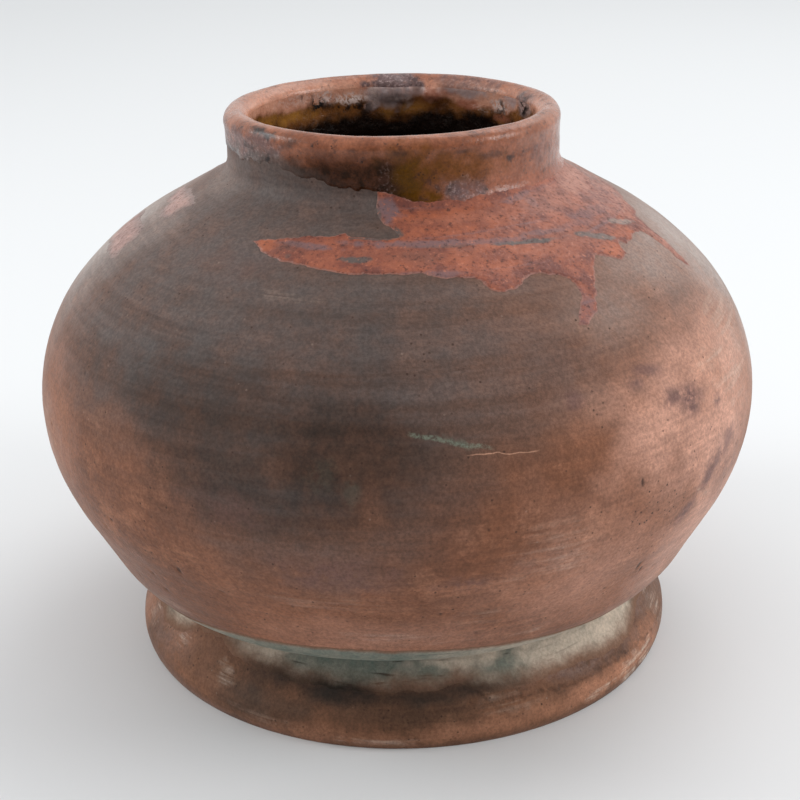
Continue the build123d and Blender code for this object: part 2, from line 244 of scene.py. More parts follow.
def inside_outline(depth, skin):
    """The inner wall at a depth under the outer one, from the lip down the bore to the floor's middle."""
    inside = Outline()
    bore = NECK_BORE - skin
    inner_round = INNER_ROUND + skin
    outer_radii = (SHOULDER_RADIUS, UPPER_RADIUS, LOWER_RADIUS, TUCK_RADIUS)
    shoulder, upper, lower, tuck = (radius - depth - skin for radius in outer_radii)
    inside.line_on((bore, lip_centre[1]), (bore, inner_round_centre[1]), -1)
    inside.arc_on(inner_round_centre, inner_round, 180, 180 + SHOULDER_ANGLE)
    slope_top = inner_round_centre + inner_round * unit(180 + SHOULDER_ANGLE)
    inside.line_on(slope_top, shoulder_centre + shoulder * unit(SHOULDER_ANGLE), -1)
    inside.arc_on(shoulder_centre, -shoulder, SHOULDER_ANGLE, UPPER_ANGLE)
    inside.arc_on(upper_centre, -upper, UPPER_ANGLE, 0)
    inside.arc_on(lower_centre, -lower, 0, -LOWER_SLOPE)
    cone_side = unit(-LOWER_SLOPE)
    inside.line_on(lower_centre + lower * cone_side, tuck_centre + tuck * cone_side, -1)
    inside.arc_on(tuck_centre, -tuck, -LOWER_SLOPE, -90)
    floor_edge = tuck_centre + np.array([0, -tuck])
    end = inside.end() + floor_edge[0]
    inside.line(inside.end(), end, floor_edge, (AXIS_GAP, floor_edge[1]), -1)
    return inside.close(), end


def foot_outline():
    """The foot's outside from the groove under the body, down the slope and round the bead to the sole."""
    foot = Outline()
    top = np.array([tuck_centre[0] - CREVICE, FOOT_HEIGHT])
    bead = np.array([FOOT_RADIUS - FOOT_BEAD, FOOT_BEAD_HEIGHT])
    gap = bead - top
    turn = math.degrees(math.atan2(gap[1], gap[0]) + math.asin(FOOT_BEAD / np.hypot(*gap)))
    touch = bead + FOOT_BEAD * unit(turn + 90)
    sole_angle = -math.degrees(math.asin(FOOT_BEAD_HEIGHT / FOOT_BEAD))
    foot.line(-FOOT_HIDDEN, 0.0, top - FOOT_HIDDEN * unit(turn), top)
    foot.line_on(top, touch)
    foot.arc_on(bead, FOOT_BEAD, turn + 90, sole_angle)
    return foot.close(), foot.reach[-1]


WALL_PATH, inside_drop = wall_outline()
INSIDE_PATH, inside_end = inside_outline(WALL, LINING)
FOOT_PATH, foot_sole_start = foot_outline()
joint_drop = slope_drop(joint_reach)
seat_drop = -NECK_HEIGHT - DROP_START


def corner_values(cell, seed):
    """A repeatable number from 0 to 11 for each lattice corner."""
    x, y, z = (cell[..., k].astype(np.int64).astype(np.uint32) for k in range(3))
    mixed = x * np.uint32(374761393) + y * np.uint32(668265263) + z * np.uint32(2246822519)
    mixed = mixed + np.uint32(seed * 40503)
    mixed = (mixed ^ (mixed >> np.uint32(13))) * np.uint32(1274126177)
    return (mixed ^ (mixed >> np.uint32(16))) % np.uint32(12)


EDGES = np.array([
    (1, 1, 0), (-1, 1, 0), (1, -1, 0), (-1, -1, 0), (1, 0, 1), (-1, 0, 1),
    (1, 0, -1), (-1, 0, -1), (0, 1, 1), (0, -1, 1), (0, 1, -1), (0, -1, -1),
], float)


def smooth_noise(points, seed):
    """Gradient noise, about -1 to 1, one lattice cell per unit."""
    cell = np.floor(points)
    part = points - cell
    fade = part**3 * (part * (part * 6 - 15) + 10)
    total = np.zeros(points.shape[:-1])
    for corner in np.ndindex(2, 2, 2):
        offset = np.array(corner, float)
        pull = (EDGES[corner_values(cell + offset, seed)] * (part - offset)).sum(-1)
        weight = np.where(offset == 1, fade, 1 - fade).prod(-1)
        total += pull * weight
    return total


def noise(points, size, octaves, seed):
    """Layered noise with the given feature size."""
    total = 0.0
    for octave in range(octaves):
        total = total + 0.5**octave * smooth_noise(points * (2**octave / size), seed + 7 * octave)
    return total


def smooth_step(low, high, value):
    s = np.clip((value - low) / (high - low), 0, 1)
    return s * s * (3 - 2 * s)


class Sheet:
    """A grid of places on an outline: rows of distance along it, columns of angle."""

    def __init__(self, path, reach, angles, shift=0.0):
        self.reach = np.asarray(reach, float)
        self.angles = np.asarray(angles, float)
        points, normals = path.at(self.reach)
        turn = np.radians(self.angles)
        self.radius = np.repeat(points[:, :1], len(turn), 1)
        self.drop = np.repeat(self.reach[:, None], len(turn), 1)
        self.angle = np.repeat(self.angles[None], len(self.reach), 0)
        out = np.stack([np.sin(turn), -np.cos(turn), np.zeros_like(turn)], -1)
        up = np.array([0.0, 0.0, 1.0])
        self.base = points[:, None, :1] * out[None] + points[:, None, 1:] * up
        self.base[..., 0] += shift
        self.normal = normals[:, None, :1] * out[None] + normals[:, None, 1:] * up

    def lifted(self, height):
        return self.base + self.normal * np.asarray(height)[..., None]

    def across(self, centre):
        """Signed distance along the ring from an angle."""
        return np.radians((self.angle - centre + 180) % 360 - 180) * self.radius

    def rings(self):
        """Places squeezed round the ring, for marks that run round the wall."""
        squeezed = self.base * RELIEF_SQUEEZE
        return np.stack([squeezed[..., 0], squeezed[..., 1], self.drop], -1)


def ring_angles(columns):
    return np.linspace(-180, 180, columns, endpoint=False)


def blots(sheet, marks, warp, size, seed, core=0.55):
    """Soft marks on a sheet, each an angle, a drop, half a width, half a height, a tilt and a strength.

    A mark is full up to the given part of its size and fades out from there.
    """
    total = np.zeros(sheet.drop.shape)
    rough = noise(sheet.base, size, 3, seed)
    for angle, drop, half_width, half_height, tilt, strength in marks:
        x, y = sheet.across(angle), sheet.drop - drop
        turn = math.radians(tilt)
        u = (x * math.cos(turn) + y * math.sin(turn)) / half_width
        v = (y * math.cos(turn) - x * math.sin(turn)) / half_height
        distance = np.sqrt(u * u + v * v) + warp * rough
        total = np.maximum(total, strength * smooth_step(1.15, core, distance))
    return total


def region(sheet, corners, middle, warp, size, seed):
    """Signed distance in millimetres into a polygon of angles and drops, with an uneven edge."""
    scale = math.radians(1) * middle
    x = sheet.angle * scale + warp * noise(sheet.base, size, 3, seed)
    y = sheet.drop + warp * noise(sheet.base, size, 3, seed + 1)
    polygon = np.array([(angle * scale, drop) for angle, drop in corners])
    nearest = np.full(x.shape, 1e9)
    inside = np.zeros(x.shape, bool)
    for (ax, ay), (bx, by) in zip(polygon, np.roll(polygon, -1, 0)):
        ex, ey = bx - ax, by - ay
        s = np.clip(((x - ax) * ex + (y - ay) * ey) / max(ex * ex + ey * ey, 1e-9), 0, 1)
        nearest = np.minimum(nearest, (x - ax - s * ex) ** 2 + (y - ay - s * ey) ** 2)
        crosses = (ay > y) != (by > y)
        inside ^= crosses & (x < ex * (y - ay) / (ey if abs(ey) > 1e-9 else 1e-9) + ax)
    return np.where(inside, 1, -1) * np.sqrt(nearest)


def by_angle(sheet, stops):
    """A value read round the ring from angle stops."""
    stops = np.array(stops, float)
    angles = np.concatenate([stops[:, 0] - 360, stops[:, 0], stops[:, 0] + 360])
    return np.interp(sheet.angle, angles, np.tile(stops[:, 1], 3))


# Pits in the clay: angle, drop, half width, half height, depth
PIT_COUNT = 90
PIT_REACH = 2.5
PIT_DARK = 0.4
dice = np.random.default_rng(31)
PITS = [
    (dice.uniform(-180, 180), dice.triangular(60, 185, 215), dice.uniform(1.0, 1.5), dice.uniform(0.9, 1.4),
     dice.uniform(0.15, 0.35))
    for _ in range(PIT_COUNT)
]
LARGE_PITS = [(-34.5, 163, 1.1, 2.0, 0.5), (40.5, 172, 1.0, 2.6, 0.5), (42, 176, 0.9, 2.0, 0.45),
              (36, 128, 1.0, 1.8, 0.5), (-47, 150, 1.2, 1.2, 0.4), (-58, 168, 1.2, 1.4, 0.4),
              (12, 133, 1.1, 1.1, 0.3)]
PITS += LARGE_PITS


def pit_depths(sheet):
    """Depth of the pits on a sheet."""
    depth = np.zeros(sheet.drop.shape)
    for angle, drop, half_width, half_height, deep in PITS:
        rows = np.flatnonzero(np.abs(sheet.reach - drop) < PIT_REACH * half_height)
        if not len(rows):
            continue
        reach = PIT_REACH * half_width / sheet.radius[rows[0], 0]
        away = (sheet.angles - angle + 180) % 360 - 180
        columns = np.flatnonzero(np.abs(np.radians(away)) < reach)
        if not len(columns):
            continue
        window = np.ix_(rows, columns)
        u = np.radians(away[columns])[None] * sheet.radius[window] / half_width
        v = (sheet.reach[rows, None] - drop) / half_height
        depth[window] = np.maximum(depth[window], deep * np.exp(-(u * u + v * v)))
    return depth


# Relief of the clay: height and width of each kind of unevenness
WOBBLE = (0.5, 95)
LUMPS = (0.2, 26)
RINGS = (0.07, 4.2)
GRAIN = (0.035, 2.6)
FOOT_WOBBLE = (0.4, 60)
FOOT_LUMPS = (0.15, 18)
FOOT_RINGS = (0.1, 4.0)
INSIDE_WAVES = (0.25, 30)
INSIDE_GRAIN = (0.15, 7)
# How far the relief lies under the outline, so that it stays inside it, and the length over which it ends
SUNK = 0.45
FOOT_SUNK = 0.3
INSIDE_SUNK = 0.1
INSIDE_DEEPEST = -0.35
BASE_FADE = 12
SOLE_FADE = 8


def uneven(points, kind, seed):
    height, width = kind
    return height * noise(points, width, 2, seed)


def wall_relief(sheet):
    """Height of the clay over its outline: wobble, lumps, wiping rings, grain and pits."""
    base = sheet.base
    ringed = sheet.rings()
    patchy = 0.6 + 0.8 * smooth_step(-0.2, 0.5, noise(base, 60, 2, 17))
    height = uneven(base, WOBBLE, 11) + uneven(base, LUMPS, 12)
    height += patchy * uneven(ringed, RINGS, 13) + uneven(base, GRAIN, 14)
    height -= SUNK + pit_depths(sheet)
    return height * smooth_step(base_drop, base_drop - BASE_FADE, sheet.drop)


# Ragged ridge where the fillet that joins foot and body ends: distance down the foot's slope, by angle
FOOT_RIDGE = [(-10, 13), (5, 15), (13, 19), (19, 25), (29, 26), (37.5, 27.5), (44, 27.3), (50.5, 27.5),
              (59, 29), (68, 31.5), (80, 33)]
RIDGE_STEP = [(-10, 0), (4, 0), (16, 0.45), (70, 0.45), (90, 0)]


def below_ridge(sheet):
    """How far down past the ragged ridge a place on the foot lies."""
    return sheet.drop - by_angle(sheet, FOOT_RIDGE) - 1.6 * noise(sheet.base, 4, 3, 25)


def foot_relief(sheet):
    """Height of the foot's clay over its outline, fading out at the sole."""
    height = uneven(sheet.base, FOOT_WOBBLE, 21) + uneven(sheet.base, FOOT_LUMPS, 22)
    height += uneven(sheet.rings(), FOOT_RINGS, 23) + uneven(sheet.base, GRAIN, 24) - FOOT_SUNK
    height -= by_angle(sheet, RIDGE_STEP) * smooth_step(-0.4, 0.8, below_ridge(sheet))
    return height * smooth_step(foot_sole_start, foot_sole_start - SOLE_FADE, sheet.drop)


def grid_faces(rows, columns, ring, first=0):
    """Quads of a grid, outward when rows run down and columns run right."""
    index = first + np.arange(rows * columns).reshape(rows, columns)
    if ring:
        index = np.concatenate([index, index[:, :1]], 1)
    quads = np.stack([index[:-1, :-1], index[1:, :-1], index[1:, 1:], index[:-1, 1:]], -1)
    return quads.reshape(-1, 4)


def grid_normals(points, ring):
    """Unit normals of a grid by differences."""
    if ring:
        right = np.roll(points, -1, 1) - np.roll(points, 1, 1)
    else:
        right = np.gradient(points, axis=1)
    down = np.gradient(points, axis=0)
    normals = np.cross(down, right)
    return normals / np.maximum(np.linalg.norm(normals, axis=-1, keepdims=True), 1e-12)


def make_piece(name, points, faces, material, nodes, normals, fields):
    """A mesh piece in the frame that stands for CAD nodes and rides on the jar's one body."""
    mesh = bpy.data.meshes.new(name)
    sizes = np.concatenate([np.full(len(block), block.shape[1]) for block in faces])
    corners = np.concatenate([block.ravel() for block in faces])
    mesh.vertices.add(len(points))
    mesh.vertices.foreach_set("co", (np.asarray(points) * MM).ravel())
    mesh.loops.add(len(corners))
    mesh.loops.foreach_set("vertex_index", corners)
    mesh.polygons.add(len(sizes))
    mesh.polygons.foreach_set("loop_start", np.cumsum(sizes) - sizes)
    mesh.polygons.foreach_set("use_smooth", np.ones(len(sizes), bool))
    mesh.update(calc_edges=True)
    for key, values in fields.items():
        mesh.attributes.new(key, "FLOAT", "POINT").data.foreach_set("value", values)
    mesh.normals_split_custom_set_from_vertices(normals)
    mesh.materials.append(material)
    piece = bpy.data.objects.new(name, mesh)
    bpy.context.scene.collection.objects.link(piece)
    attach(piece, "root")
    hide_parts(*nodes)


def turned_piece(name, path, reach, columns, relief, back, material, nodes, fields, shift=0.0):
    """A closed turned piece: a fine skin with relief, and a plain back from its lower to its upper edge."""
    step = reach[1] - reach[0]
    ghost = np.concatenate([[reach[0] - step], reach, [reach[-1] + step]])
    sheet = Sheet(path, ghost, ring_angles(columns), shift)
    skin = sheet.lifted(relief(sheet))
    normals = grid_normals(skin, True)[1:-1]
    skin = skin[1:-1]
    turn = np.radians(sheet.angles)
    out = np.stack([np.sin(turn), -np.cos(turn), np.zeros_like(turn)], -1)
    back_rows = [skin[-1]]
    for radius, height in back:
        back_rows.append(radius * out + np.array([shift, 0.0, height]))
    back_rows.append(skin[0])
    blocks = [skin] + [np.stack(pair) for pair in zip(back_rows[:-1], back_rows[1:])]
    points, faces, shading, first = [], [], [], 0
    for block in blocks:
        points.append(block.reshape(-1, 3))
        faces.append(grid_faces(block.shape[0], columns, True, first))
        block_normals = normals if block is skin else grid_normals(block, True)
        shading.append(block_normals.reshape(-1, 3))
        first += len(points[-1])
    values = {}
    for key, grid in fields(sheet).items():
        inner = grid[1:-1].ravel()
        values[key] = np.concatenate([inner, np.zeros(first - inner.size)])
    shading = np.concatenate(shading)
    make_piece(name, np.concatenate(points), faces, material, nodes, shading, values)


def clip_grid(thickness, ring):
    """Triangles of a grid where a thickness is above zero, cut along its edge.

    Each new point lies between two grid points: arrays first, second and weight, and the triangles.
    """
    rows, columns = thickness.shape
    quads = grid_faces(rows, columns, ring)
    triangles = np.concatenate([quads[:, [0, 1, 2]], quads[:, [0, 2, 3]]])
    value = thickness.ravel()
    above = value[triangles] > 0
    count = above.sum(1)
    whole = triangles[count == 3]

    def turned(some, flag):
        start = np.argmax(flag, 1)
        order = (start[:, None] + np.arange(3)) % 3
        return np.take_along_axis(some, order, 1)

    one = turned(triangles[count == 1], above[count == 1])
    two = turned(triangles[count == 2], ~above[count == 2])
    cuts = np.concatenate([one[:, [0, 1]], one[:, [0, 2]], two[:, [0, 1]], two[:, [0, 2]]])
    low, high = cuts.min(1), cuts.max(1)
    keys, place = np.unique(low.astype(np.int64) * value.size + high, return_inverse=True)
    a, b = keys // value.size, keys % value.size
    weight = value[a] / (value[a] - value[b])
    place = place.ravel() + value.size
    n, m = len(one), len(two)
    one_right, one_left = place[:n], place[n:2 * n]
    two_right, two_left = place[2 * n:2 * n + m], place[2 * n + m:]
    result = np.concatenate([
        whole,
        np.stack([one[:, 0], one_right, one_left], 1),
        np.stack([two_right, two[:, 1], two[:, 2]], 1),
        np.stack([two_right, two[:, 2], two_left], 1),
    ])
    first = np.concatenate([np.arange(value.size), a])
    second = np.concatenate([np.arange(value.size), b])
    weights = np.concatenate([np.zeros(value.size), weight])
    used, compact = np.unique(result, return_inverse=True)
    return first[used], second[used], weights[used], compact.reshape(-1, 3)


def coat_piece(name, sheet, ground, thickness, ring, material, nodes, fields):
    """A closed coat on a sheet's ground, where its thickness is above zero."""
    first, second, weight, triangles = clip_grid(thickness, ring)
    weight = weight[:, None]

    def between(grid):
        flat = grid.reshape(-1, grid.shape[-1])
        return flat[first] * (1 - weight) + flat[second] * weight

    top_grid = sheet.lifted(ground + np.maximum(thickness, 0))
    top = between(top_grid)
    bottom = between(sheet.lifted(ground - COAT_ROOT))
    normals = between(grid_normals(sheet.lifted(ground + thickness), ring))
    count = len(top)
    edges = np.concatenate([triangles[:, [0, 1]], triangles[:, [1, 2]], triangles[:, [2, 0]]])
    keys = edges[:, 0].astype(np.int64) * count + edges[:, 1]
    other = edges[:, 1].astype(np.int64) * count + edges[:, 0]
    rim = edges[~np.isin(keys, other)]
    ids, place = np.unique(rim, return_inverse=True)
    place = place.reshape(-1, 2)
    upper, lower = 2 * count + place, 2 * count + len(ids) + place
    sides = np.stack([upper[:, 1], upper[:, 0], lower[:, 0], lower[:, 1]], 1)
    points = np.concatenate([top, bottom, top[ids], bottom[ids]])
    shading = np.concatenate([normals, -normals, np.zeros((2 * len(ids), 3))])
    values = {}
    for key, grid in fields.items():
        value = between(grid[..., None])[:, 0]
        values[key] = np.concatenate([value, value, value[ids], value[ids]])
    faces = [triangles, triangles[:, ::-1] + count, sides]
    make_piece(name, points, faces, material, nodes, shading, values)


def tone(red, green, blue):
    """Linear colour of a tone, in steps of 255."""
    steps = np.array([red, green, blue]) / 255
    linear = np.where(steps <= 0.04045, steps / 12.92, ((steps + 0.055) / 1.055) ** 2.4)
    return (*linear, 1.0)


class Graph:
    """A material and short ways to add its nodes."""

    def __init__(self, name):
        self.material = bpy.data.materials.new(name)
        self.material.use_nodes = True
        self.tree = self.material.node_tree
        self.surface = self.tree.nodes["Principled BSDF"]
        self.place = self.add("ShaderNodeTexCoord").outputs["Object"]
        self.colour = None

    def feed(self, socket, value):
        if isinstance(value, bpy.types.NodeSocket):
            self.tree.links.new(value, socket)
        else:
            socket.default_value = value

    def add(self, kind, inputs=None, **settings):
        node = self.tree.nodes.new(kind)
        for key, value in settings.items():
            setattr(node, key, value)
        for key, value in (inputs or {}).items():
            self.feed(node.inputs[key], value)
        return node

    def shade(self, **sockets):
        for key, value in sockets.items():
            self.feed(self.surface.inputs[key.replace("_", " ")], value)

    def read(self, name):
        return self.add("ShaderNodeAttribute", attribute_name=name).outputs["Fac"]

    def noise(self, size, detail=2.0, rough=0.5, place=None):
        """Noise with features of a size in millimetres."""
        inputs = {"Vector": place or self.place, "Scale": 1000 / size, "Detail": detail, "Roughness": rough}
        return self.add("ShaderNodeTexNoise", inputs).outputs["Fac"]

    def cells(self, size):
        """Distance to scattered points, for specks."""
        inputs = {"Vector": self.place, "Scale": 1000 / size}
        return self.add("ShaderNodeTexVoronoi", inputs).outputs["Distance"]

    def ringed(self):
        """Places squeezed round the axis, so that noise there draws lines round the pot."""
        place = self.add("ShaderNodeSeparateXYZ", {"Vector": self.place})
        squeezed = [self.math("MULTIPLY", place.outputs[axis], TONE_SQUEEZE) for axis in ("X", "Y")]
        inputs = {"X": squeezed[0], "Y": squeezed[1], "Z": self.read("drop")}
        return self.add("ShaderNodeCombineXYZ", inputs).outputs[0]

    def span(self, value, low, high, to_low=0.0, to_high=1.0):
        inputs = {"Value": value, "From Min": low, "From Max": high, "To Min": to_low, "To Max": to_high}
        return self.add("ShaderNodeMapRange", inputs, interpolation_type="SMOOTHSTEP").outputs["Result"]

    def math(self, operation, first, second=0.0):
        return self.add("ShaderNodeMath", {0: first, 1: second}, operation=operation).outputs[0]

    def times(self, first, second):
        return self.math("MULTIPLY", first, second)

    def mix(self, factor, first, second, blend="MIX"):
        node = self.add("ShaderNodeMix", data_type="RGBA", blend_type=blend)
        self.feed(node.inputs[0], factor)
        self.feed(node.inputs[6], first)
        self.feed(node.inputs[7], second)
        return node.outputs[2]

    def layer(self, amount, colour):
        """Lay a colour over the colour so far."""
        self.colour = self.mix(amount, self.colour, colour)

    def mark(self, name, texture, limits, colour):
        """Lay a colour where a field lies, as far as a texture lets it."""
        self.layer(self.times(self.read(name), self.span(texture, *limits)), colour)

    def shaded(self, texture, limits, dark, light, amount=1.0):
        """Darken and lighten the colour so far by a texture."""
        shades = self.mix(self.span(texture, *limits), (*dark, 1), (*light, 1))
        self.colour = self.mix(amount, self.colour, shades, "MULTIPLY")

    def specks(self, size, limits, texture, gate):
        """Scattered specks, kept where a texture is high."""
        return self.times(self.span(self.cells(size), *limits), self.span(texture, *gate))

    def scratch(self, first, last, half_width):
        """A thin uneven line on the wall between two places, each an angle and a drop."""
        turn = self.read("turn")
        inputs = {"Value": turn, "From Min": first[0], "From Max": last[0],
                  "To Min": first[1] * MM, "To Max": last[1] * MM}
        line = self.add("ShaderNodeMapRange", inputs).outputs["Result"]
        wander = self.times(self.math("SUBTRACT", self.noise(8.0), 0.5), 3.0 * MM)
        off = self.math("SUBTRACT", self.math("SUBTRACT", self.read("drop"), line), wander)
        near = self.span(self.math("ABSOLUTE", off), half_width * MM, 0.3 * half_width * MM)
        near = self.times(near, self.span(turn, first[0], first[0] + SCRATCH_FADE))
        return self.times(near, self.span(turn, last[0], last[0] - SCRATCH_FADE))

    def bump(self, height, depth):
        """Bump of a depth in millimetres."""
        inputs = {"Height": height, "Distance": depth * MM, "Strength": 1.0}
        return self.add("ShaderNodeBump", inputs).outputs["Normal"]


# Tones of the clay, among them a pale grey one painted on the body's sides as sheen
BODY_TONES = {
    "base": tone(146, 95, 69), "deep": tone(122, 78, 56), "light": tone(170, 118, 92),
    "blush": tone(206, 156, 136), "smoke": tone(82, 68, 62), "ash": tone(94, 84, 81),
    "core": tone(52, 40, 34), "mauve": tone(118, 86, 78), "stain": tone(104, 74, 72),
    "bloom": tone(192, 168, 153), "pit": tone(58, 38, 30), "green": tone(118, 132, 116),
    "painted_sheen": tone(172, 160, 154), "scratch": tone(214, 162, 134),
}
# On the foot the smoke tones also paint shade on the band under the body's edge, and the stain tone paints
# shade along the ridge
FOOT_TONES = {
    "base": tone(120, 82, 60), "deep": tone(98, 66, 47), "light": tone(144, 104, 80),
    "blush": tone(182, 128, 100), "smoke": tone(45, 38, 32), "ash": tone(62, 54, 47),
    "core": tone(36, 31, 27), "mauve": tone(136, 108, 97), "stain": tone(50, 34, 28),
    "bloom": tone(216, 198, 182), "pit": tone(44, 29, 22), "green": tone(120, 124, 112),
    "painted_sheen": tone(150, 128, 114), "scratch": tone(180, 140, 118),
}
# A scratch and a greenish streak on the front: angle and drop of both ends, half width
SCRATCH = ((9.0, 105.0), (20.0, 106.8), 0.32)
SCRATCH_FADE = 1.5
GREEN_STREAK = ((1.0, 96.6), (13.5, 104.0), 1.2)


def clay_material(name, tones):
    """Fired clay: mottled ground, smoke, flushes, stains, a chalky bloom, specks and wiping lines, with
    pale sheen painted on the sides.
    """
    graph = Graph(name)
    ring = graph.ringed()
    lines = graph.noise(2.4, 4.0, 0.62, ring)
    chalk = graph.noise(2.6, 6.0, 0.75, ring)
    bands = graph.noise(13.0, 4.0, 0.62, ring)
    cloud = graph.noise(60.0, 5.0, 0.62)
    mottle = graph.noise(15.0, 6.0, 0.68)
    patch = graph.noise(5.0, 5.0, 0.68)
    grain = graph.noise(1.3, 3.0, 0.7)
    smoke = graph.mix(graph.span(bands, 0.4, 0.62), tones["smoke"], tones["ash"])
    smoke = graph.mix(graph.read("ash"), smoke, tones["ash"])
    core = graph.times(graph.read("core"), graph.span(bands, 0.3, 0.65, 1.0, 0.66))
    smoke = graph.mix(core, smoke, tones["core"])
    graph.colour = graph.mix(graph.span(cloud, 0.38, 0.62), tones["base"], tones["deep"])
    graph.layer(graph.span(mottle, 0.48, 0.72, 0.0, 0.6), tones["light"])
    graph.mark("blush", mottle, (0.3, 0.62, 0.72, 1.0), tones["blush"])
    graph.mark("smoke", mottle, (0.32, 0.7, 1.0, 0.8), smoke)
    # Painted sheen: a pale grey veil on the body's sides, standing in for light grazing the wall
    graph.mark("painted_sheen", patch, (0.25, 0.65, 0.55, 1.0), tones["painted_sheen"])
    graph.mark("mauve", patch, (0.3, 0.6), tones["mauve"])
    graph.mark("stain", patch, (0.3, 0.52, 0.25, 1.0), tones["stain"])
    graph.mark("bloom", chalk, (0.42, 0.66), tones["bloom"])
    graph.mark("green", patch, (0.36, 0.52), tones["green"])
    streak = graph.times(graph.scratch(*GREEN_STREAK), graph.span(grain, 0.35, 0.6, 0.05, 0.55))
    graph.layer(streak, tones["green"])
    graph.layer(graph.times(graph.scratch(*SCRATCH), 0.55), tones["scratch"])
    wiped = graph.span(cloud, 0.4, 0.6, 0.25, 1.0)
    graph.shaded(lines, (0.32, 0.68), (0.88, 0.88, 0.88), (1.1, 1.1, 1.09), wiped)
    graph.shaded(grain, (0.3, 0.7), (0.79, 0.78, 0.77), (1.19, 1.19, 1.19))
    graph.shaded(patch, (0.3, 0.7), (1.1, 1.09, 1.08), (0.9, 0.9, 0.9))
    dark_specks = graph.specks(3.6, (0.17, 0.07), mottle, (0.46, 0.58))
    graph.layer(graph.times(dark_specks, 0.8), tones["pit"])
    pores = graph.specks(2.3, (0.25, 0.11), patch, (0.43, 0.57))
    graph.layer(graph.times(pores, graph.read("porous")), tones["pit"])
    pale_specks = graph.specks(6.0, (0.09, 0.04), mottle, (0.48, 0.6))
    graph.layer(graph.times(pale_specks, 0.2), tones["bloom"])
    graph.layer(graph.span(graph.read("pit"), 0.25, 0.9, 0.0, 0.85), tones["pit"])
    height = graph.math("ADD", graph.times(lines, 0.35), graph.times(grain, 0.6))
    height = graph.math("ADD", height, graph.times(patch, 0.8))
    graph.shade(Base_Color=graph.colour, Roughness=graph.span(mottle, 0.3, 0.7, 0.5, 0.7))
    graph.shade(Normal=graph.bump(height, 0.22))
    graph.shade(Specular_IOR_Level=0.22, Sheen_Weight=0.16, Sheen_Roughness=0.35)
    return graph.material


# Smoke on the body: where it ends down the wall and how dense it is, by angle
SMOKE_EDGE = [(-180, 95), (-150, 62), (-120, 72), (-95, 82), (-75, 88), (-60, 100), (-45, 112),
              (-30, 130), (-15, 142), (0, 140), (10, 121), (20, 99), (30, 86), (45, 82), (60, 84),
              (75, 84), (95, 75), (120, 90), (150, 125)]
SMOKE_FADE = 27
SMOKE_DENSITY = [(-180, 0.8), (-120, 0.66), (-90, 0.66), (-75, 0.8), (-60, 0.92), (-45, 1.0), (0, 1.0),
                 (12, 0.9), (22, 0.72), (35, 0.52), (50, 0.44), (75, 0.42), (100, 0.6), (140, 0.85)]
# Marks on the body: angle, drop, half width, half height, tilt, strength
CORE = [(-30, 92, 90, 30, 0, 0.85), (-8, 105, 54, 32, 0, 0.95), (-20, 120, 44, 20, 0, 0.7),
        (0, 60, 70, 36, 0, 0.3), (-178, 70, 70, 30, 0, 0.6)]
BLUSH = [(50, 118, 62, 40, 0, 0.95), (56, 165, 50, 42, 0, 0.95), (62, 100, 30, 44, 0, 0.8),
         (33, 96, 30, 14, 0, 0.45), (30, 160, 50, 40, 0, 0.4), (0, 188, 60, 14, 0, 0.3),
         (-80, 140, 50, 30, 0, 0.3), (-120, 140, 50, 40, 0, 0.5), (150, 170, 60, 30, 0, 0.5)]
STAIN = [(47.8, 105.5, 11, 7, 10, 1.0), (45, 102, 8, 5, 0, 0.8), (55, 111, 4, 3, 0, 0.8),
         (41, 89, 9, 3, 15, 0.6), (38, 92, 5, 3, 0, 0.6), (52, 138, 15, 6, -35, 0.8),
         (47, 150, 11, 5, -30, 0.7), (58, 130, 9, 8, 0, 0.6), (26, 92, 5, 5, 0, 0.5),
         (-58, 152, 4, 4, 0, 0.6), (100, 130, 16, 9, 0, 0.6), (-130, 120, 12, 8, 0, 0.5)]
MAUVE = [(-9, 150, 30, 10, 0, 0.8), (9, 156, 16, 6, 0, 0.75), (-24, 128, 24, 10, 0, 0.5),
         (20, 150, 18, 10, 0, 0.3), (60, 145, 20, 26, 0, 0.4), (-36, 36, 30, 12, 0, 0.25)]
ASH = [(-55, 20, 90, 40, 0, 0.9), (26.5, 78, 5, 9, 12, 1.0), (39.5, 82, 5, 7, 0, 0.9),
       (-30, 45, 90, 22, 0, 0.6), (-56, 80, 7, 3, 0, 0.8), (-48, 84, 5, 2, 0, 0.6),
       (60, 60, 60, 25, 0, 0.8), (120, 30, 80, 40, 0, 0.7)]
BLOOM = [(52, 147, 6, 2, 25, 0.9), (50, 144, 4, 1.2, 40, 0.9), (22, 193, 12, 3, -12, 0.6),
         (-2, 187, 22, 4, 0, 0.4), (6, 191, 16, 3, 0, 0.4), (12, 178, 14, 6, 0, 0.25),
         (-10, 166, 30, 6, 0, 0.25), (62, 108, 26, 14, 0, 0.5), (57, 96, 18, 7, 10, 0.5),
         (70, 90, 24, 20, 0, 0.5), (22, 150, 22, 18, 0, 0.3), (-70, 130, 20, 20, 0, 0.2),
         (-45, 195, 30, 4, -8, 0.4), (55, 195, 24, 5, 8, 0.4), (-22, 47, 18, 2.4, 3, 0.2),
         (140, 120, 40, 20, 0, 0.4)]
GREEN = [(8, 100.5, 7, 1.6, 20, 0.35), (-10, 112, 6, 8, 20, 0.08), (-6, 117, 4, 6, 0, 0.12)]
# Painted sheen on both sides of the body, where light grazes the wall
PAINTED_SHEEN = [(-75, 2, 34, 14, 0, 0.4), (-92, 55, 60, 60, 0, 1.0), (-88, 110, 34, 40, 0, 0.55),
        (84, 62, 58, 60, 0, 0.85), (60, 52, 44, 30, 0, 0.5), (82, 104, 34, 30, 0, 0.65),
        (42, 64, 34, 22, 0, 0.3), (180, 60, 50, 50, 0, 0.3)]
POROUS = [(40, 140, 18, 17, 0, 1.0), (20, 160, 22, 24, 0, 0.7), (52, 128, 10, 14, 0, 0.7),
          (0, 185, 60, 16, 0, 0.35), (-45, 150, 40, 30, 0, 0.4), (120, 150, 50, 40, 0, 0.6),
          (-140, 160, 60, 40, 0, 0.6)]


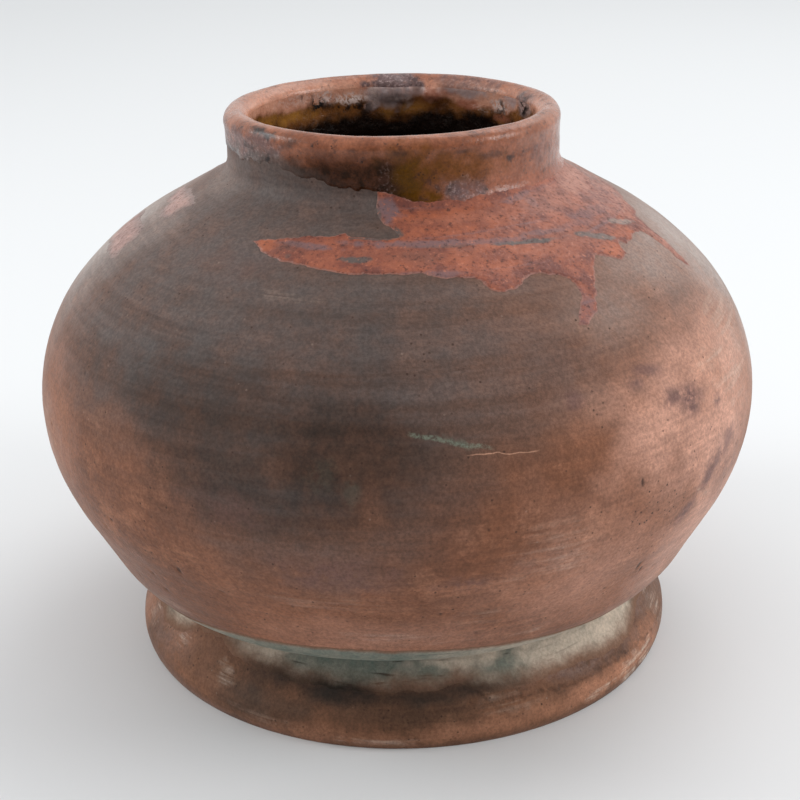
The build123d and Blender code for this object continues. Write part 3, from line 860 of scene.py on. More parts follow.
def clay_fields(sheet):
    """Where the body's marks lie."""
    wander = 18 * noise(sheet.base, 55, 2, 32) + 8 * noise(sheet.base, 14, 3, 33)
    past_edge = sheet.drop + wander - by_angle(sheet, SMOKE_EDGE)
    return {
        "drop": sheet.drop * MM,
        "turn": sheet.angle,
        "smoke": smooth_step(SMOKE_FADE, -SMOKE_FADE, past_edge) * by_angle(sheet, SMOKE_DENSITY),
        "core": blots(sheet, CORE, 0.4, 40, 41, 0.1),
        "ash": blots(sheet, ASH, 0.3, 12, 42, 0.3),
        "blush": blots(sheet, BLUSH, 0.4, 30, 43, 0.1),
        "stain": blots(sheet, STAIN, 0.35, 9, 44, 0.1),
        "mauve": blots(sheet, MAUVE, 0.4, 10, 45, 0.1),
        "bloom": blots(sheet, BLOOM, 0.5, 6, 46, 0.1),
        "green": blots(sheet, GREEN, 0.5, 2.5, 47, 0.2),
        # Painted sheen on the body's sides
        "painted_sheen": blots(sheet, PAINTED_SHEEN, 0.3, 30, 48, 0.0),
        "porous": blots(sheet, POROUS, 0.5, 9, 49, 0.3),
        "pit": np.clip(pit_depths(sheet) / PIT_DARK, 0, 1),
    }


# Marks on the foot: angle, distance down its slope, half width, half height, tilt, strength
# Smoke on the upper foot, darkest just under the body's edge, where it is also painted shade
FOOT_SMOKE_AND_SHADE = [(-5, 20, 44, 7, 0, 1.0), (-12, 19, 52, 9, 0, 1.0), (-24, 18, 34, 9, 0, 0.9),
              (14, 19, 30, 6, 6, 0.8), (-31, 30, 38, 13, 0, 0.75), (-4, 27, 60, 10, 0, 0.4),
              (40, 23, 34, 4, 4, 0.1), (150, 20, 60, 14, 0, 0.7)]
FOOT_BLUSH = [(45, 34, 54, 7, 0, 0.9), (62, 32, 22, 12, 0, 0.7), (-20, 38, 70, 6, 0, 0.45),
              (-78, 25, 20, 20, 0, 0.6), (-58, 20, 18, 12, 0, 0.4), (15, 35, 40, 6, 0, 0.6),
              (110, 20, 40, 20, 0, 0.6), (-40, 32, 40, 10, 0, 0.3)]
FOOT_BLOOM = [(53.5, 36, 9, 5, -10, 1.0), (-62, 15, 5, 9, 15, 1.0), (-56, 20, 6, 7, 0, 0.6),
              (-40, 24, 6, 6, -30, 0.4), (53, 34.5, 13, 3, -8, 1.0), (42, 36, 12, 2.5, -5, 0.9),
              (61, 36, 9, 5, -10, 0.9), (-5, 38, 16, 3, 0, 0.4), (-72, 18, 8, 14, 0, 0.6),
              (20, 27, 14, 5, 10, 0.2), (74, 25, 10, 12, 0, 0.5), (-30, 36, 20, 4, 0, 0.12)]
FOOT_MAUVE = [(42, 22, 40, 7, 4, 0.9), (-62, 22, 24, 14, 0, 0.6), (66, 18, 14, 8, 0, 0.7)]


def foot_fields(sheet):
    """Where the foot's marks lie."""
    ridge_line = smooth_step(1.1, 0.2, np.abs(below_ridge(sheet) - 0.3))
    return {
        "drop": sheet.drop * MM,
        # Smoke and core: the dark band under the body's edge, smoke with painted shade
        "smoke": blots(sheet, FOOT_SMOKE_AND_SHADE, 0.35, 14, 71, 0.0),
        "core": blots(sheet, FOOT_SMOKE_AND_SHADE[:3], 0.35, 14, 72, 0.0),
        "blush": blots(sheet, FOOT_BLUSH, 0.4, 14, 73, 0.0),
        "bloom": blots(sheet, FOOT_BLOOM, 0.6, 4, 74, 0.1),
        "mauve": blots(sheet, FOOT_MAUVE, 0.4, 10, 75, 0.0),
        # The stain here is a dark line along the ragged ridge: painted shade at its step
        "stain": ridge_line * by_angle(sheet, RIDGE_STEP) * 0.9,
        "porous": np.full(sheet.drop.shape, 0.4),
    }


# Outline of the red run, by angle and drop
RUN = [(-36.4, 23.4), (-33.6, 21.6), (-31.5, 20.6), (-28, 19.6), (-24, 17.6), (-20, 16.4), (-15, 15.2),
       (-12.6, 13.8), (-10.6, 15.6), (-5, 16.2), (1.5, 15.6), (0, 11.6), (-2.8, 8), (-4.8, 3), (-5.2, -2),
       (-5, -6.5), (0, -6.5), (6, -3), (30, -3), (60, -2), (85, -1), (98, 0), (104, 10), (100, 22),
       (92, 28), (84, 30), (80, 36), (76, 37), (73.5, 44), (72.5, 56), (71.5, 66), (70, 62), (69.5, 50),
       (68.5, 41), (66, 40), (62, 41), (58.5, 41.5), (57.2, 38.5), (55.8, 42), (55.2, 45.5), (52.5, 46.3),
       (50, 43.5), (46.9, 40.3), (44.4, 42.8), (41.9, 47.8), (39.4, 55), (37, 61.5), (34, 66.5), (32, 66),
       (32.6, 62), (34.6, 58.5), (36.4, 52), (36, 47), (34.5, 44), (31, 42), (28, 41), (25.6, 44),
       (23, 46.5), (20.6, 47), (18.2, 45.5), (17.4, 41), (16.5, 39.5), (13.75, 38.5), (9.5, 38),
       (7.5, 36.5), (6, 34.8), (0, 34.8), (-4, 35.2), (-10, 35), (-15, 33.5), (-20, 32), (-25, 31.3),
       (-29, 29), (-31.6, 27.8), (-33, 25.8), (-34.2, 24.6)]
# Where the run is thin and the clay shows through: angle, drop, half width, half height, tilt, strength
RUN_THIN = [(32, 25.6, 18, 1.7, 7, 0.95), (52.5, 33, 12, 2.6, 29, 1.0), (66, 33, 10, 2.6, 30, 0.9),
            (-8.5, 28, 7, 2.4, 0, 0.95), (-24, 28.5, 2.4, 2.0, 0, 0.5), (10, 22, 22, 1.2, 4, 0.5),
            (1, 13, 5, 3, 40, 0.8), (-4.5, 5, 2.0, 9, -8, 0.75), (-6, 16.5, 12, 1.2, 0, 0.8)]
# Veils, bright orange, pale film and smoke on the run, given the same way
RUN_LAVENDER = [(-22, 22.3, 14, 1.8, 2, 0.9), (4, 20, 24, 2.2, 2, 0.85), (24, 22.5, 16, 1.8, 6, 0.7),
                (40, 23, 14, 1.6, 8, 0.6), (-1.5, 2, 5, 7, -20, 1.0), (36, 56, 3, 9, 0, 0.5),
                (41, 2, 9, 2, -10, 0.7), (44, 6, 3, 4, 0, 0.6), (8, 36, 12, 2, 4, 0.8),
                (62, 22, 18, 4, 10, 0.5), (52, 24, 12, 2, 8, 0.4), (34, 63, 3, 5, 0, 0.5),
                (75, 20, 16, 12, 0, 0.3)]
RUN_BRIGHT = [(-31, 24.5, 5, 4, 0, 1.0), (14, 9, 34, 9, 0, 0.6), (34, 4, 20, 6, 0, 0.35),
              (22, 30, 22, 8, 0, 0.5), (40, 33, 16, 7, 0, 0.5), (2, 28, 18, 5, 0, 0.35),
              (52, 41, 6, 4, 0, 0.7), (62, 36, 8, 4, 0, 0.6)]
RUN_PALE = [(60, 8, 36, 9, 0, 0.35), (74, 6, 18, 12, 0, 0.9), (75, 20, 24, 18, 0, 0.35),
            (70, 52, 5, 14, 0, 0.7), (20, 8, 22, 4, 0, 0.2)]
RUN_SMOKY = [(5, 26, 26, 7, 0, 0.6), (-26, 25, 12, 6, 0, 0.8), (30, 45, 14, 12, 0, 0.5),
             (45, 30, 30, 8, 0, 0.4)]
# Outlines of the flakes, and the lower edge of the rim's glaze, by angle and drop
FLAKES = [
    [(-98, 20), (-90, 17.5), (-85, 16), (-76, 15), (-69.5, 17.5), (-71.5, 21.5), (-72.5, 25), (-72, 29),
     (-76, 32.5), (-80, 31.5), (-85, 29), (-90, 30), (-97, 27)],
    [(-97, 44), (-90, 42.5), (-82.5, 41), (-77.5, 40.5), (-73.8, 45), (-73.2, 56), (-77, 59), (-85, 59),
     (-90, 61), (-96, 56)],
    [(-112, 9), (-104, 7), (-99, 9), (-101, 13), (-108, 14)],
]
RIM_EDGE = [(-180, -5), (-150, -3), (-120, -8), (-90, -12), (-62, -12.5), (-52, -13.5), (-43, -14),
            (-35, -11.7), (-24, -9.4), (-15.5, -7.8), (-7.5, -6.7), (-2.8, -5.6), (3, -3.5), (6, -2),
            (9.8, -1.2), (12, 0.8), (14, 0), (15.5, -1.5), (18, -0.2), (21.5, 0.9), (27, 0), (33, 0.5),
            (45, 2.5), (60, 3.5), (90, 4), (120, 2), (150, -2)]
# Radius that turns angles of the outlines into lengths
RUN_MIDDLE = 95.0
# Sheets of these coats: drops from and to, angles from, to and step, and the rim's last drop
RUN_DROPS = (-8, 70)
RUN_ANGLES = (-42, 108, 0.42)
FLAKE_DROPS = (2, 66)
FLAKE_ANGLES = (-116, -64, 0.45)
RIM_END = 7
# Thickness of the coats and length of their rounded edge, for the rim by angle
RUN_THICK = 0.55
RUN_BEAD = 0.8
FLAKE_THICK = 0.35
FLAKE_BEAD = 4.0
RIM_THICK = 0.5
RIM_BEAD = [(-180, 0.9), (20, 0.9), (36, 4), (90, 5), (140, 0.9)]
# Tones of the run and of the flakes
RUN_TONES = {
    "red": tone(114, 60, 48), "orange": tone(162, 90, 64), "lavender": tone(122, 95, 97),
    "pale": tone(176, 124, 107), "edge": tone(150, 108, 96),
}
FLAKE_TONES = {
    "red": tone(150, 116, 109), "orange": tone(182, 146, 136), "lavender": tone(150, 130, 128),
    "pale": tone(190, 160, 152), "edge": tone(126, 112, 107),
}


def rounded(distance, thick, bead):
    """Thickness of a coat with a rounded edge, from the distance inside its outline."""
    inside = thick * (1 - np.exp(-np.maximum(distance, 0) / bead))
    return np.where(distance > 0, inside, COAT_FALL * distance)


def run_fields(sheet, distance):
    """Where the run's marks lie: distance from its edge, lavender veils, bright orange and pale film."""
    wander = noise(sheet.base, 7, 3, 85)
    right_end = 0.55 * smooth_step(64, 98, sheet.angle + 12 * wander)
    return {
        "thin": np.maximum(blots(sheet, RUN_THIN, 0.4, 4, 86, 0.3), right_end),
        "right": smooth_step(40, 75, sheet.angle),
        "edge": distance,
        "drop": sheet.drop * MM,
        "lavender": blots(sheet, RUN_LAVENDER, 0.5, 4, 81),
        "bright": blots(sheet, RUN_BRIGHT, 0.4, 8, 82),
        "pale": blots(sheet, RUN_PALE, 0.4, 10, 83),
        "smoky": blots(sheet, RUN_SMOKY, 0.4, 8, 84, 0.0),
    }


def run_material(name, tones, edge_width, thin_share):
    """Thin red glaze on rough clay: mottled, specked, with lavender veils and a pale outline."""
    graph = Graph(name)
    mottle = graph.noise(9.0, 5.0, 0.68)
    fine = graph.noise(1.7, 4.0, 0.7)
    streak = graph.noise(5.0, 5.0, 0.66, graph.ringed())
    clay = graph.mix(graph.span(mottle, 0.36, 0.66), tone(86, 73, 68), tone(102, 89, 84))
    clay = graph.mix(graph.read("right"), clay, tone(146, 124, 114))
    thin = graph.span(graph.math("ADD", graph.read("thin"), graph.times(fine, 0.5)), 0.4, 1.1)
    ragged = graph.math("ADD", graph.read("edge"), graph.times(graph.math("SUBTRACT", fine, 0.5), 3.0))
    edge = graph.times(graph.span(ragged, edge_width, 0.1, 0.0, 0.75), graph.math("SUBTRACT", 1.0, thin))
    graph.colour = graph.mix(graph.span(mottle, 0.36, 0.66), tones["red"], tones["orange"])
    graph.layer(graph.span(streak, 0.54, 0.72, 0.0, 0.6), tones["lavender"])
    graph.mark("bright", mottle, (0.3, 0.6, 0.4, 0.9), tone(180, 98, 62))
    graph.layer(graph.times(thin, thin_share), clay)
    graph.mark("lavender", fine, (0.3, 0.6, 0.6, 1.0), tones["lavender"])
    graph.mark("pale", mottle, (0.3, 0.6, 0.5, 1.0), tones["pale"])
    graph.layer(edge, tones["edge"])
    graph.mark("smoky", mottle, (0.4, 0.62), tone(92, 60, 54))
    graph.layer(graph.span(fine, 0.53, 0.68, 0.0, 0.75), tone(70, 42, 38))
    graph.layer(graph.span(fine, 0.42, 0.3, 0.0, 0.6), tone(198, 118, 86))
    pinholes = graph.specks(3.2, (0.16, 0.07), mottle, (0.5, 0.62))
    graph.layer(graph.times(pinholes, 0.6), tone(56, 38, 38))
    graph.shade(Base_Color=graph.colour, Roughness=graph.span(fine, 0.3, 0.7, 0.34, 0.6))
    graph.shade(Normal=graph.bump(fine, 0.25), Specular_IOR_Level=0.35)
    return graph.material


# Upper edge of the dark pool on the collar, by angle and drop
RIM_POOL = [(-62, 0), (-50, -13), (-43, -15), (-36, -16.5), (-28, -17.5), (-19, -18.5), (-10, -19.5),
            (-4, -20), (1, -20), (5, -17), (8, -7), (11, 0)]
# Marks on the rim's glaze: angle, drop, half width, half height, tilt, strength
RIM_BROWN = [(-9, -18, 22, 4, 0, 0.4), (-178, -14, 60, 6, 0, 0.7), (150, -10, 40, 5, 0, 0.5),
             (-125, -13, 40, 5, 0, 0.5)]
RIM_OLIVE = [(8, -11, 13, 16, 0, 1.0), (16, -15, 20, 8, 0, 0.75), (26, -14, 18, 7, 0, 0.5),
             (10, -3, 9, 8, 0, 1.0), (13, -2, 6, 5, 0, 1.0), (4, -19, 12, 7, 0, 0.6),
             (100, -14, 20, 5, 0, 0.6)]
RIM_MAUVE = [(21, -5, 10, 5.5, 0, 1.0), (28, -4, 5, 4, 0, 0.8), (-58, -19, 12, 5, 0, 0.8),
             (-66, -16, 11, 4, 0, 0.8), (-80, -18, 18, 6, 0, 0.8), (-52, -16, 12, 6, 0, 0.6),
             (-3, -5, 5, 5, 30, 0.5), (58, -14, 10, 6, 0, 0.4), (-2, -14, 4, 4, 0, 0.35),
             (-46, -19, 10, 6, 0, 0.8), (-78, -13, 34, 3.5, 0, 1.2), (-55, -14, 14, 3, 0, 1.2),
             (179, -36, 13, 8, 0, 1.6), (146, -34, 18, 5, 0, 0.75), (109, -36, 10, 5, 0, 0.8)]
RIM_DARK = [(-46.5, -24.7, 9, 2, 8, 0.95), (-35, -22.6, 4, 3, 0, 0.6), (-54, -18.6, 4, 2.5, 0, 0.6),
            (-44.3, -15.1, 2.4, 1.0, -40, 1.0), (33, -17.4, 7, 1.6, 0, 0.5),
            (40.8, -15, 2.4, 1.4, 0, 0.8), (22, -20, 4, 1.0, 0, 0.5), (28, -26, 5, 0.8, 0, 0.4),
            (2, -21, 4, 1.4, 0, 0.5), (-12, -22, 3, 1.0, 0, 0.5), (48, -16, 5, 1.0, 0, 0.4),
            (110, -35, 5, 3, 0, 0.6)]
# Pale patches on the lip: rubbed glaze, and painted highlights where the lip's top catches the light
RIM_RUBBED_AND_HIGHLIGHT = [(-75, -28, 40, 5, 0, 0.3), (-100, -28, 40, 6, 0, 0.3), (70, -26, 40, 5, 0, 0.25),
            (10, -29, 40, 2.0, 0, 0.3), (52, -20, 14, 4, 0, 0.3), (-66, -14, 12, 3, 0, 0.2),
            (-125, -30, 40, 5, 0, 0.4)]
# Where the rim's edge thins out over the clay, by angle
RIM_THIN = [(-180, 0.3), (-120, 0.8), (-60, 1), (-46, 1), (-34, 0.6), (-22, 0.2), (-10, 0), (120, 0),
            (150, 0.3)]
# Lumps and crumbs inside the lip: angle, distance down from the lip, half width, half height, tilt, height
INSIDE_LUMPS = [(178.5, 1.5, 11, 6.5, 0, 2.8), (162.5, 3.2, 6, 4.5, 0, 2.6), (146, 0, 14, 4, 0, 0.6),
                (110, 1.2, 5, 6, 0, 1.0), (-160, 6, 12, 3, 0, 0.4), (138, 10, 10, 4, 0, 0.5)]


def rim_fields(sheet, distance):
    """Where the rim's marks lie, and where its edge thins out over the clay."""
    pool_depth = sheet.drop - by_angle(sheet, RIM_POOL) + 2.5 * noise(sheet.base, 5, 3, 98)
    pooled = smooth_step(-4.5, 4.5, pool_depth) * smooth_step(-66, -48, sheet.angle)
    pooled = pooled * smooth_step(12, 6, sheet.angle)
    thin = smooth_step(6.0, 0.5, distance + 3.0 * noise(sheet.base, 5, 3, 99)) * by_angle(sheet, RIM_THIN)
    return {
        "thin": thin,
        "brown": np.maximum(blots(sheet, RIM_BROWN, 0.4, 7, 91, 0.35), pooled),
        "olive": blots(sheet, RIM_OLIVE, 0.4, 7, 92, 0.15),
        "mauve": blots(sheet, RIM_MAUVE, 0.5, 5, 93, 0.45),
        "dark": blots(sheet, RIM_DARK, 0.7, 3, 94, 0.3),
        # Pale rubbed patches and painted highlights on the lip
        "pale": blots(sheet, RIM_RUBBED_AND_HIGHLIGHT, 0.4, 8, 95, 0.2),
        "lower": smooth_step(-10, 0, sheet.drop),
        "bare": smooth_step(inside_drop + 7.5, inside_drop, sheet.drop),
    }


def bare_clay_with_highlight(graph):
    """Mottled orange clay inside the lip, where the glaze is thin, painted pale to stand in for the gloss
    highlight there.
    """
    mottle = graph.noise(9.0, 5.0, 0.66)
    # Both tones are paler than the clay itself, painted as the highlight on the inner slope
    return graph.mix(graph.span(mottle, 0.36, 0.64), tone(214, 157, 132), tone(190, 130, 105))


def rim_material(name):
    """Clear amber glaze over red clay, pooled dark where thick, rubbed pale on the lip, with painted
    highlights there.
    """
    graph = Graph(name)
    mottle = graph.noise(10.0, 5.0, 0.66)
    blotch = graph.noise(4.0, 4.0, 0.66)
    fine = graph.noise(1.3, 3.0, 0.65)
    graph.colour = graph.mix(graph.span(mottle, 0.36, 0.66), tone(130, 75, 50), tone(160, 98, 70))
    graph.layer(graph.times(graph.read("lower"), 0.6), tone(150, 90, 72))
    # Bare clay inside the lip, its pale tone also a painted highlight
    graph.layer(graph.read("bare"), bare_clay_with_highlight(graph))
    # Pale rubbed patches with painted highlights on the lip
    graph.mark("pale", mottle, (0.3, 0.65, 0.5, 1.0), tone(188, 142, 122))
    graph.mark("mauve", blotch, (0.3, 0.6, 0.55, 1.0), tone(104, 80, 79))
    graph.mark("brown", blotch, (0.35, 0.7, 1.0, 0.8), tone(40, 20, 6))
    graph.mark("olive", blotch, (0.3, 0.7, 1.0, 0.75), tone(90, 57, 4))
    graph.layer(graph.read("thin"), tone(98, 84, 79))
    graph.layer(graph.read("dark"), tone(36, 28, 28))
    graph.layer(graph.span(blotch, 0.56, 0.7, 0.0, 0.6), tone(62, 40, 33))
    graph.layer(graph.times(graph.specks(2.3, (0.19, 0.08), blotch, (0.44, 0.56)), 0.85), tone(40, 28, 26))
    graph.mark("mauve", fine, (0.5, 0.7, 0.0, 0.35), tone(180, 160, 158))
    graph.shaded(fine, (0.3, 0.7), (0.82, 0.82, 0.82), (1.16, 1.14, 1.12))
    frosted = graph.times(graph.read("mauve"), 0.15)
    rough = graph.math("ADD", graph.span(blotch, 0.3, 0.7, 0.14, 0.32), frosted)
    height = graph.math("ADD", graph.times(blotch, 0.8), graph.times(fine, 0.3))
    pool = graph.math("MAXIMUM", graph.read("brown"), graph.read("olive"))
    graph.shade(Base_Color=graph.colour, Roughness=rough, Normal=graph.bump(height, 0.35))
    graph.shade(Specular_IOR_Level=graph.span(pool, 0.0, 0.8, 0.38, 0.1))
    return graph.material


# Inside of the neck, down from the lip by angle: where bare orange ends, and where amber turns near black,
# which is dark glaze and painted shade deeper in the bore
INSIDE_BARE = [(-180, 3), (-170, 3), (-160, 4), (-150, 5), (-140, 6), (-130, 6), (-118, 4.5), (-100, 3),
               (-60, 4), (60, 4), (100, 3), (112, 4), (126, 7), (140, 6.5), (146, 7), (155, 4), (163, 6),
               (170, 3)]
INSIDE_DARK_AND_SHADE = [(-180, 13), (-172, 12), (-157, 11), (-146, 13), (-135, 15), (-120, 14), (-90, 12),
                (90, 11), (126, 11), (139, 8.5), (150, 10), (163, 9), (172, 13)]
# Marks there: angle, distance down from the lip, half width, half height, tilt, strength
INSIDE_PALE = [(-162, 4.5, 10, 3.2, 0, 1.0), (-150, 3, 7, 3, 0, 0.8), (127.6, 4.5, 7, 3.5, -10, 0.9),
               (-172, 1.5, 3, 5, 0, 0.6), (178, 5.2, 8, 0.8, 0, 0.6), (-134, 2, 12, 3, 0, 0.35)]
INSIDE_MAUVE = [(-179, 2.5, 12, 8, 0, 1.0), (-172, 3.6, 4, 4, 0, 0.9), (169, 0.5, 4, 4, 0, 0.8),
                (146, -1, 15, 5.5, 0, 0.9), (108.5, 1.2, 8, 6, 0, 0.75), (-171, 8, 4, 2.5, 0, 0.7),
                (120, 1, 6, 4, 0, 0.8)]
INSIDE_SPECK = [(-146, 5.5, 7, 4, 0, 1.0), (-162, 8, 10, 3, 0, 0.9), (-140, 1.7, 5, 2, 0, 0.6),
                (127, 6, 6, 4, 0, 0.8), (-152, 3, 8, 2, 0, 0.5), (109, 2, 6, 5, 0, 1.0),
                (-168, 10, 6, 3, 0, 0.7)]
INSIDE_RED = [(162.5, 3.2, 5.5, 4, 0, 1.0), (145.6, 6.4, 7, 2.6, 0, 0.9), (126, 9.8, 7, 2, 0, 0.7),
              (155, 1.5, 5, 2, 0, 0.7)]
INSIDE_AMBER = [(172, 9.5, 9, 4, 0, 1.0), (-133, 9, 14, 4, 0, 1.0), (-115, 8, 12, 4, 0, 0.8),
                (-178, 11, 5, 4, 0, 0.7)]
# Length over which the lining and the rim's glaze run flush into each other
SEAM = 4.0


def inside_fields(sheet):
    """Where the lining's marks lie."""
    wander = 1.6 * noise(sheet.base, 5, 4, 101)
    return {
        # Near black deeper in the neck: dark glaze with painted shade
        "depth": smooth_step(-2.5, 3.5, sheet.drop + 1.5 * wander - by_angle(sheet, INSIDE_DARK_AND_SHADE)),
        "bare": smooth_step(1.6, -1.6, sheet.drop + wander - by_angle(sheet, INSIDE_BARE)),
        "pale": blots(sheet, INSIDE_PALE, 0.5, 3, 103, 0.3),
        "mauve": blots(sheet, INSIDE_MAUVE, 0.35, 4, 104, 0.5),
        "speck": blots(sheet, INSIDE_SPECK, 0.5, 3, 105, 0.2),
        "red": blots(sheet, INSIDE_RED, 0.3, 4, 106, 0.4),
        "amber": blots(sheet, INSIDE_AMBER, 0.4, 5, 107, 0.2),
    }


def inside_relief(sheet):
    """Thick uneven glaze inside: runs, and lumps where clay crumbs stuck."""
    height = uneven(sheet.base, INSIDE_WAVES, 111) + uneven(sheet.base, INSIDE_GRAIN, 112) - INSIDE_SUNK
    height = np.maximum(height, INSIDE_DEEPEST) * smooth_step(0.0, SEAM, sheet.drop)
    return height + blots(sheet, INSIDE_LUMPS, 0.2, 5, 113, 0.0)


def lining_material(name):
    """Dark glossy glaze inside, amber where thin, painted near black deeper down as shade, with bare orange
    clay and crumbs near the lip.
    """
    graph = Graph(name)
    mottle = graph.noise(9.0, 5.0, 0.66)
    blotch = graph.noise(3.2, 4.0, 0.68)
    fine = graph.noise(1.2, 3.0, 0.65)
    graph.colour = graph.mix(graph.span(mottle, 0.36, 0.64), tone(132, 84, 44), tone(84, 50, 28))
    graph.mark("amber", blotch, (0.3, 0.65, 1.0, 0.55), tone(168, 116, 52))
    # Near black deeper down: dark glaze and painted shade in the bore
    graph.layer(graph.read("depth"), tone(22, 14, 10))
    # Bare clay near the lip, its pale tone also a painted highlight
    graph.layer(graph.read("bare"), bare_clay_with_highlight(graph))
    graph.mark("red", blotch, (0.3, 0.62, 1.0, 0.7), tone(160, 98, 76))
    graph.mark("mauve", blotch, (0.25, 0.6, 1.0, 0.75), tone(180, 164, 164))
    graph.mark("pale", fine, (0.36, 0.56), tone(216, 194, 186))
    graph.mark("speck", blotch, (0.47, 0.54), tone(24, 17, 15))
    height = graph.math("ADD", blotch, graph.times(fine, 0.3))
    graph.shade(Base_Color=graph.colour, Roughness=graph.span(blotch, 0.3, 0.7, 0.12, 0.34))
    graph.shade(Normal=graph.bump(height, 0.4), Specular_IOR_Level=0.5)
    return graph.material


# Crust in the groove: how far it reaches down the foot's slope, by angle
LIME_EDGE = [(-180, 11), (-140, 15), (-110, 13), (-90, 17), (-75, 20), (-66, 23), (-60, 22), (-56, 19),
             (-52, 13), (-44, 11.5), (-40, 15), (-34, 17), (-29, 17), (-22, 18.5), (0, 18), (7, 18.5),
             (11, 16), (14, 18), (17.5, 21), (24, 22), (34, 22), (43, 23), (50, 24), (56, 24.5), (60, 22),
             (66, 17), (80, 15), (100, 12), (140, 15)]
# How far it climbs from there round the edge of the body, by angle
LIME_CLIMB = [(-180, 5), (-120, 8), (-75, 10), (-60, 16), (-45, 23), (-30, 28), (-12, 29.5), (5, 28.5),
              (20, 26), (35, 22), (50, 18), (65, 12), (90, 7), (130, 9)]
# Damp and dry parts of it: angle, distance down the foot's slope, half width, half height, tilt, strength
LIME_GREEN = [(-10, 8, 24, 11, 0, 1.0), (-20, 6, 16, 8, 0, 0.8), (22, 12, 12, 7, 0, 0.7),
              (4, 11, 16, 6, 0, 0.7), (120, 4, 40, 8, 0, 0.6)]
LIME_CREAM = [(12, 6, 18, 6, 0, 0.9), (36, 13, 26, 9, 0, 0.9), (52, 17, 18, 9, 0, 1.0),
              (-58, 14, 12, 10, 0, 1.0), (-33, 10, 14, 6, 0, 0.9), (-44, 7, 14, 5, 0, 0.7)]
# The same on the edge of the body, by angle
EDGE_GREEN = [(-45, 0.2), (-25, 1), (2, 1), (14, 0.4), (30, 0.5), (60, 0), (180, 0.3)]
EDGE_CREAM = [(-70, 0.5), (-30, 0.2), (0, 0), (16, 0.5), (60, 0.9), (180, 0.3)]
# On the edge of the body: height of the sheet, thickness, rounded edge, how fast the tone sets in
EDGE_RISE = 36
EDGE_THICK = 0.5
EDGE_BEAD = 1.5
EDGE_FADE = 4.0
# On the foot: ends of the sheet, thickness, fill of the groove and its reach, rounded edge, cracks
LIME_DROPS = (-3.5, 28)
LIME_THICK = 0.35
LIME_FILL = 1.9
LIME_FILL_REACH = 3.5
LIME_BEAD = 9.0
CRACK_DEPTH = 0.15


def lime_material(name):
    """Chalky crust: grey-green damp parts, cream dry parts, dark cracks."""
    graph = Graph(name)
    streak = graph.noise(4.0, 5.0, 0.68, graph.ringed())
    mottle = graph.noise(7.0, 5.0, 0.66)
    fine = graph.noise(1.2, 3.0, 0.65)
    # Under the crust's edge the colour fades to the foot's dark band, which is partly painted shade
    under = graph.mix(graph.read("dim"), tone(130, 98, 80), tone(44, 37, 31))
    ragged = graph.math("ADD", graph.read("edge"), graph.times(graph.math("SUBTRACT", mottle, 0.5), 7.0))
    graph.colour = graph.mix(graph.span(mottle, 0.35, 0.65), tone(138, 132, 119), tone(160, 150, 136))
    graph.mark("green", mottle, (0.3, 0.65, 1.0, 0.6), tone(103, 114, 105))
    graph.mark("cream", mottle, (0.3, 0.6, 0.6, 1.0), tone(204, 188, 170))
    graph.layer(graph.span(streak, 0.56, 0.7, 0.0, 0.4), tone(76, 76, 70))
    graph.layer(graph.read("crack"), tone(44, 42, 38))
    graph.layer(graph.span(ragged, 10.0, 0.5), under)
    graph.shaded(fine, (0.3, 0.7), (0.86, 0.86, 0.86), (1.12, 1.12, 1.12))
    graph.shade(Base_Color=graph.colour, Roughness=graph.span(mottle, 0.3, 0.7, 0.75, 0.95))
    graph.shade(Normal=graph.bump(fine, 0.3), Specular_IOR_Level=0.15)
    return graph.material


def slip_material(name):
    """Fine pale clay of the joints."""
    graph = Graph(name)
    mottle = graph.noise(6.0, 4.0, 0.6)
    colour = graph.mix(graph.span(mottle, 0.35, 0.65), tone(160, 112, 88), tone(132, 90, 70))
    graph.shade(Base_Color=colour, Roughness=graph.span(mottle, 0.3, 0.7, 0.65, 0.85))
    graph.shade(Normal=graph.bump(graph.noise(1.0, 3.0), 0.1))
    return graph.material


def skin_rows(first, last, step):
    return np.linspace(first, last, max(3, int(round((last - first) / step)) + 1))


def grooved(start, end):
    """Joint face from start to end, with the slip's groove sunk to the left of that direction."""
    start, end = np.asarray(start), np.asarray(end)
    length = np.hypot(*(end - start))
    step = (end - start) / length
    sink = SLIP_DEPTH * np.array([-step[1], step[0]])
    first = start + step * (length - SLIP_WIDTH) / 2
    last = start + step * (length + SLIP_WIDTH) / 2
    return [start, first, first + sink, last + sink, last, end]


def inner_points(first, last, count):
    """Points of the inner skin under a stretch of the outer wall, from its lower to its upper end."""
    points, normals = WALL_PATH.at(np.linspace(last, first, count))
    return list(points - WALL * normals)


body_clay = clay_material("body_clay", BODY_TONES)
foot_clay = clay_material("foot_clay", FOOT_TONES)

# Clay pieces
floor_top = FOOT_HEIGHT + WALL
lip_seat = root[1] + NECK_HEIGHT
belly_joint = grooved((BELLY_RADIUS, lower_centre[1]), (BELLY_RADIUS - WALL, lower_centre[1]))
flange_edge = root + joint_reach * slope_along
neck_joint = grooved(flange_edge, flange_edge - WALL * slope_normal)
lip_joint = grooved((NECK_OUTER, lip_seat), (NECK_BORE, lip_seat))
floor_joint = grooved((FLOOR_RADIUS + FLOOR_BEVEL, floor_top), (FLOOR_RADIUS, FOOT_HEIGHT))
seat_radius = tuck_centre[0] - CREVICE
foot_joint = grooved((seat_radius, FOOT_HEIGHT), (seat_radius - FOOT_SEAT, FOOT_HEIGHT))

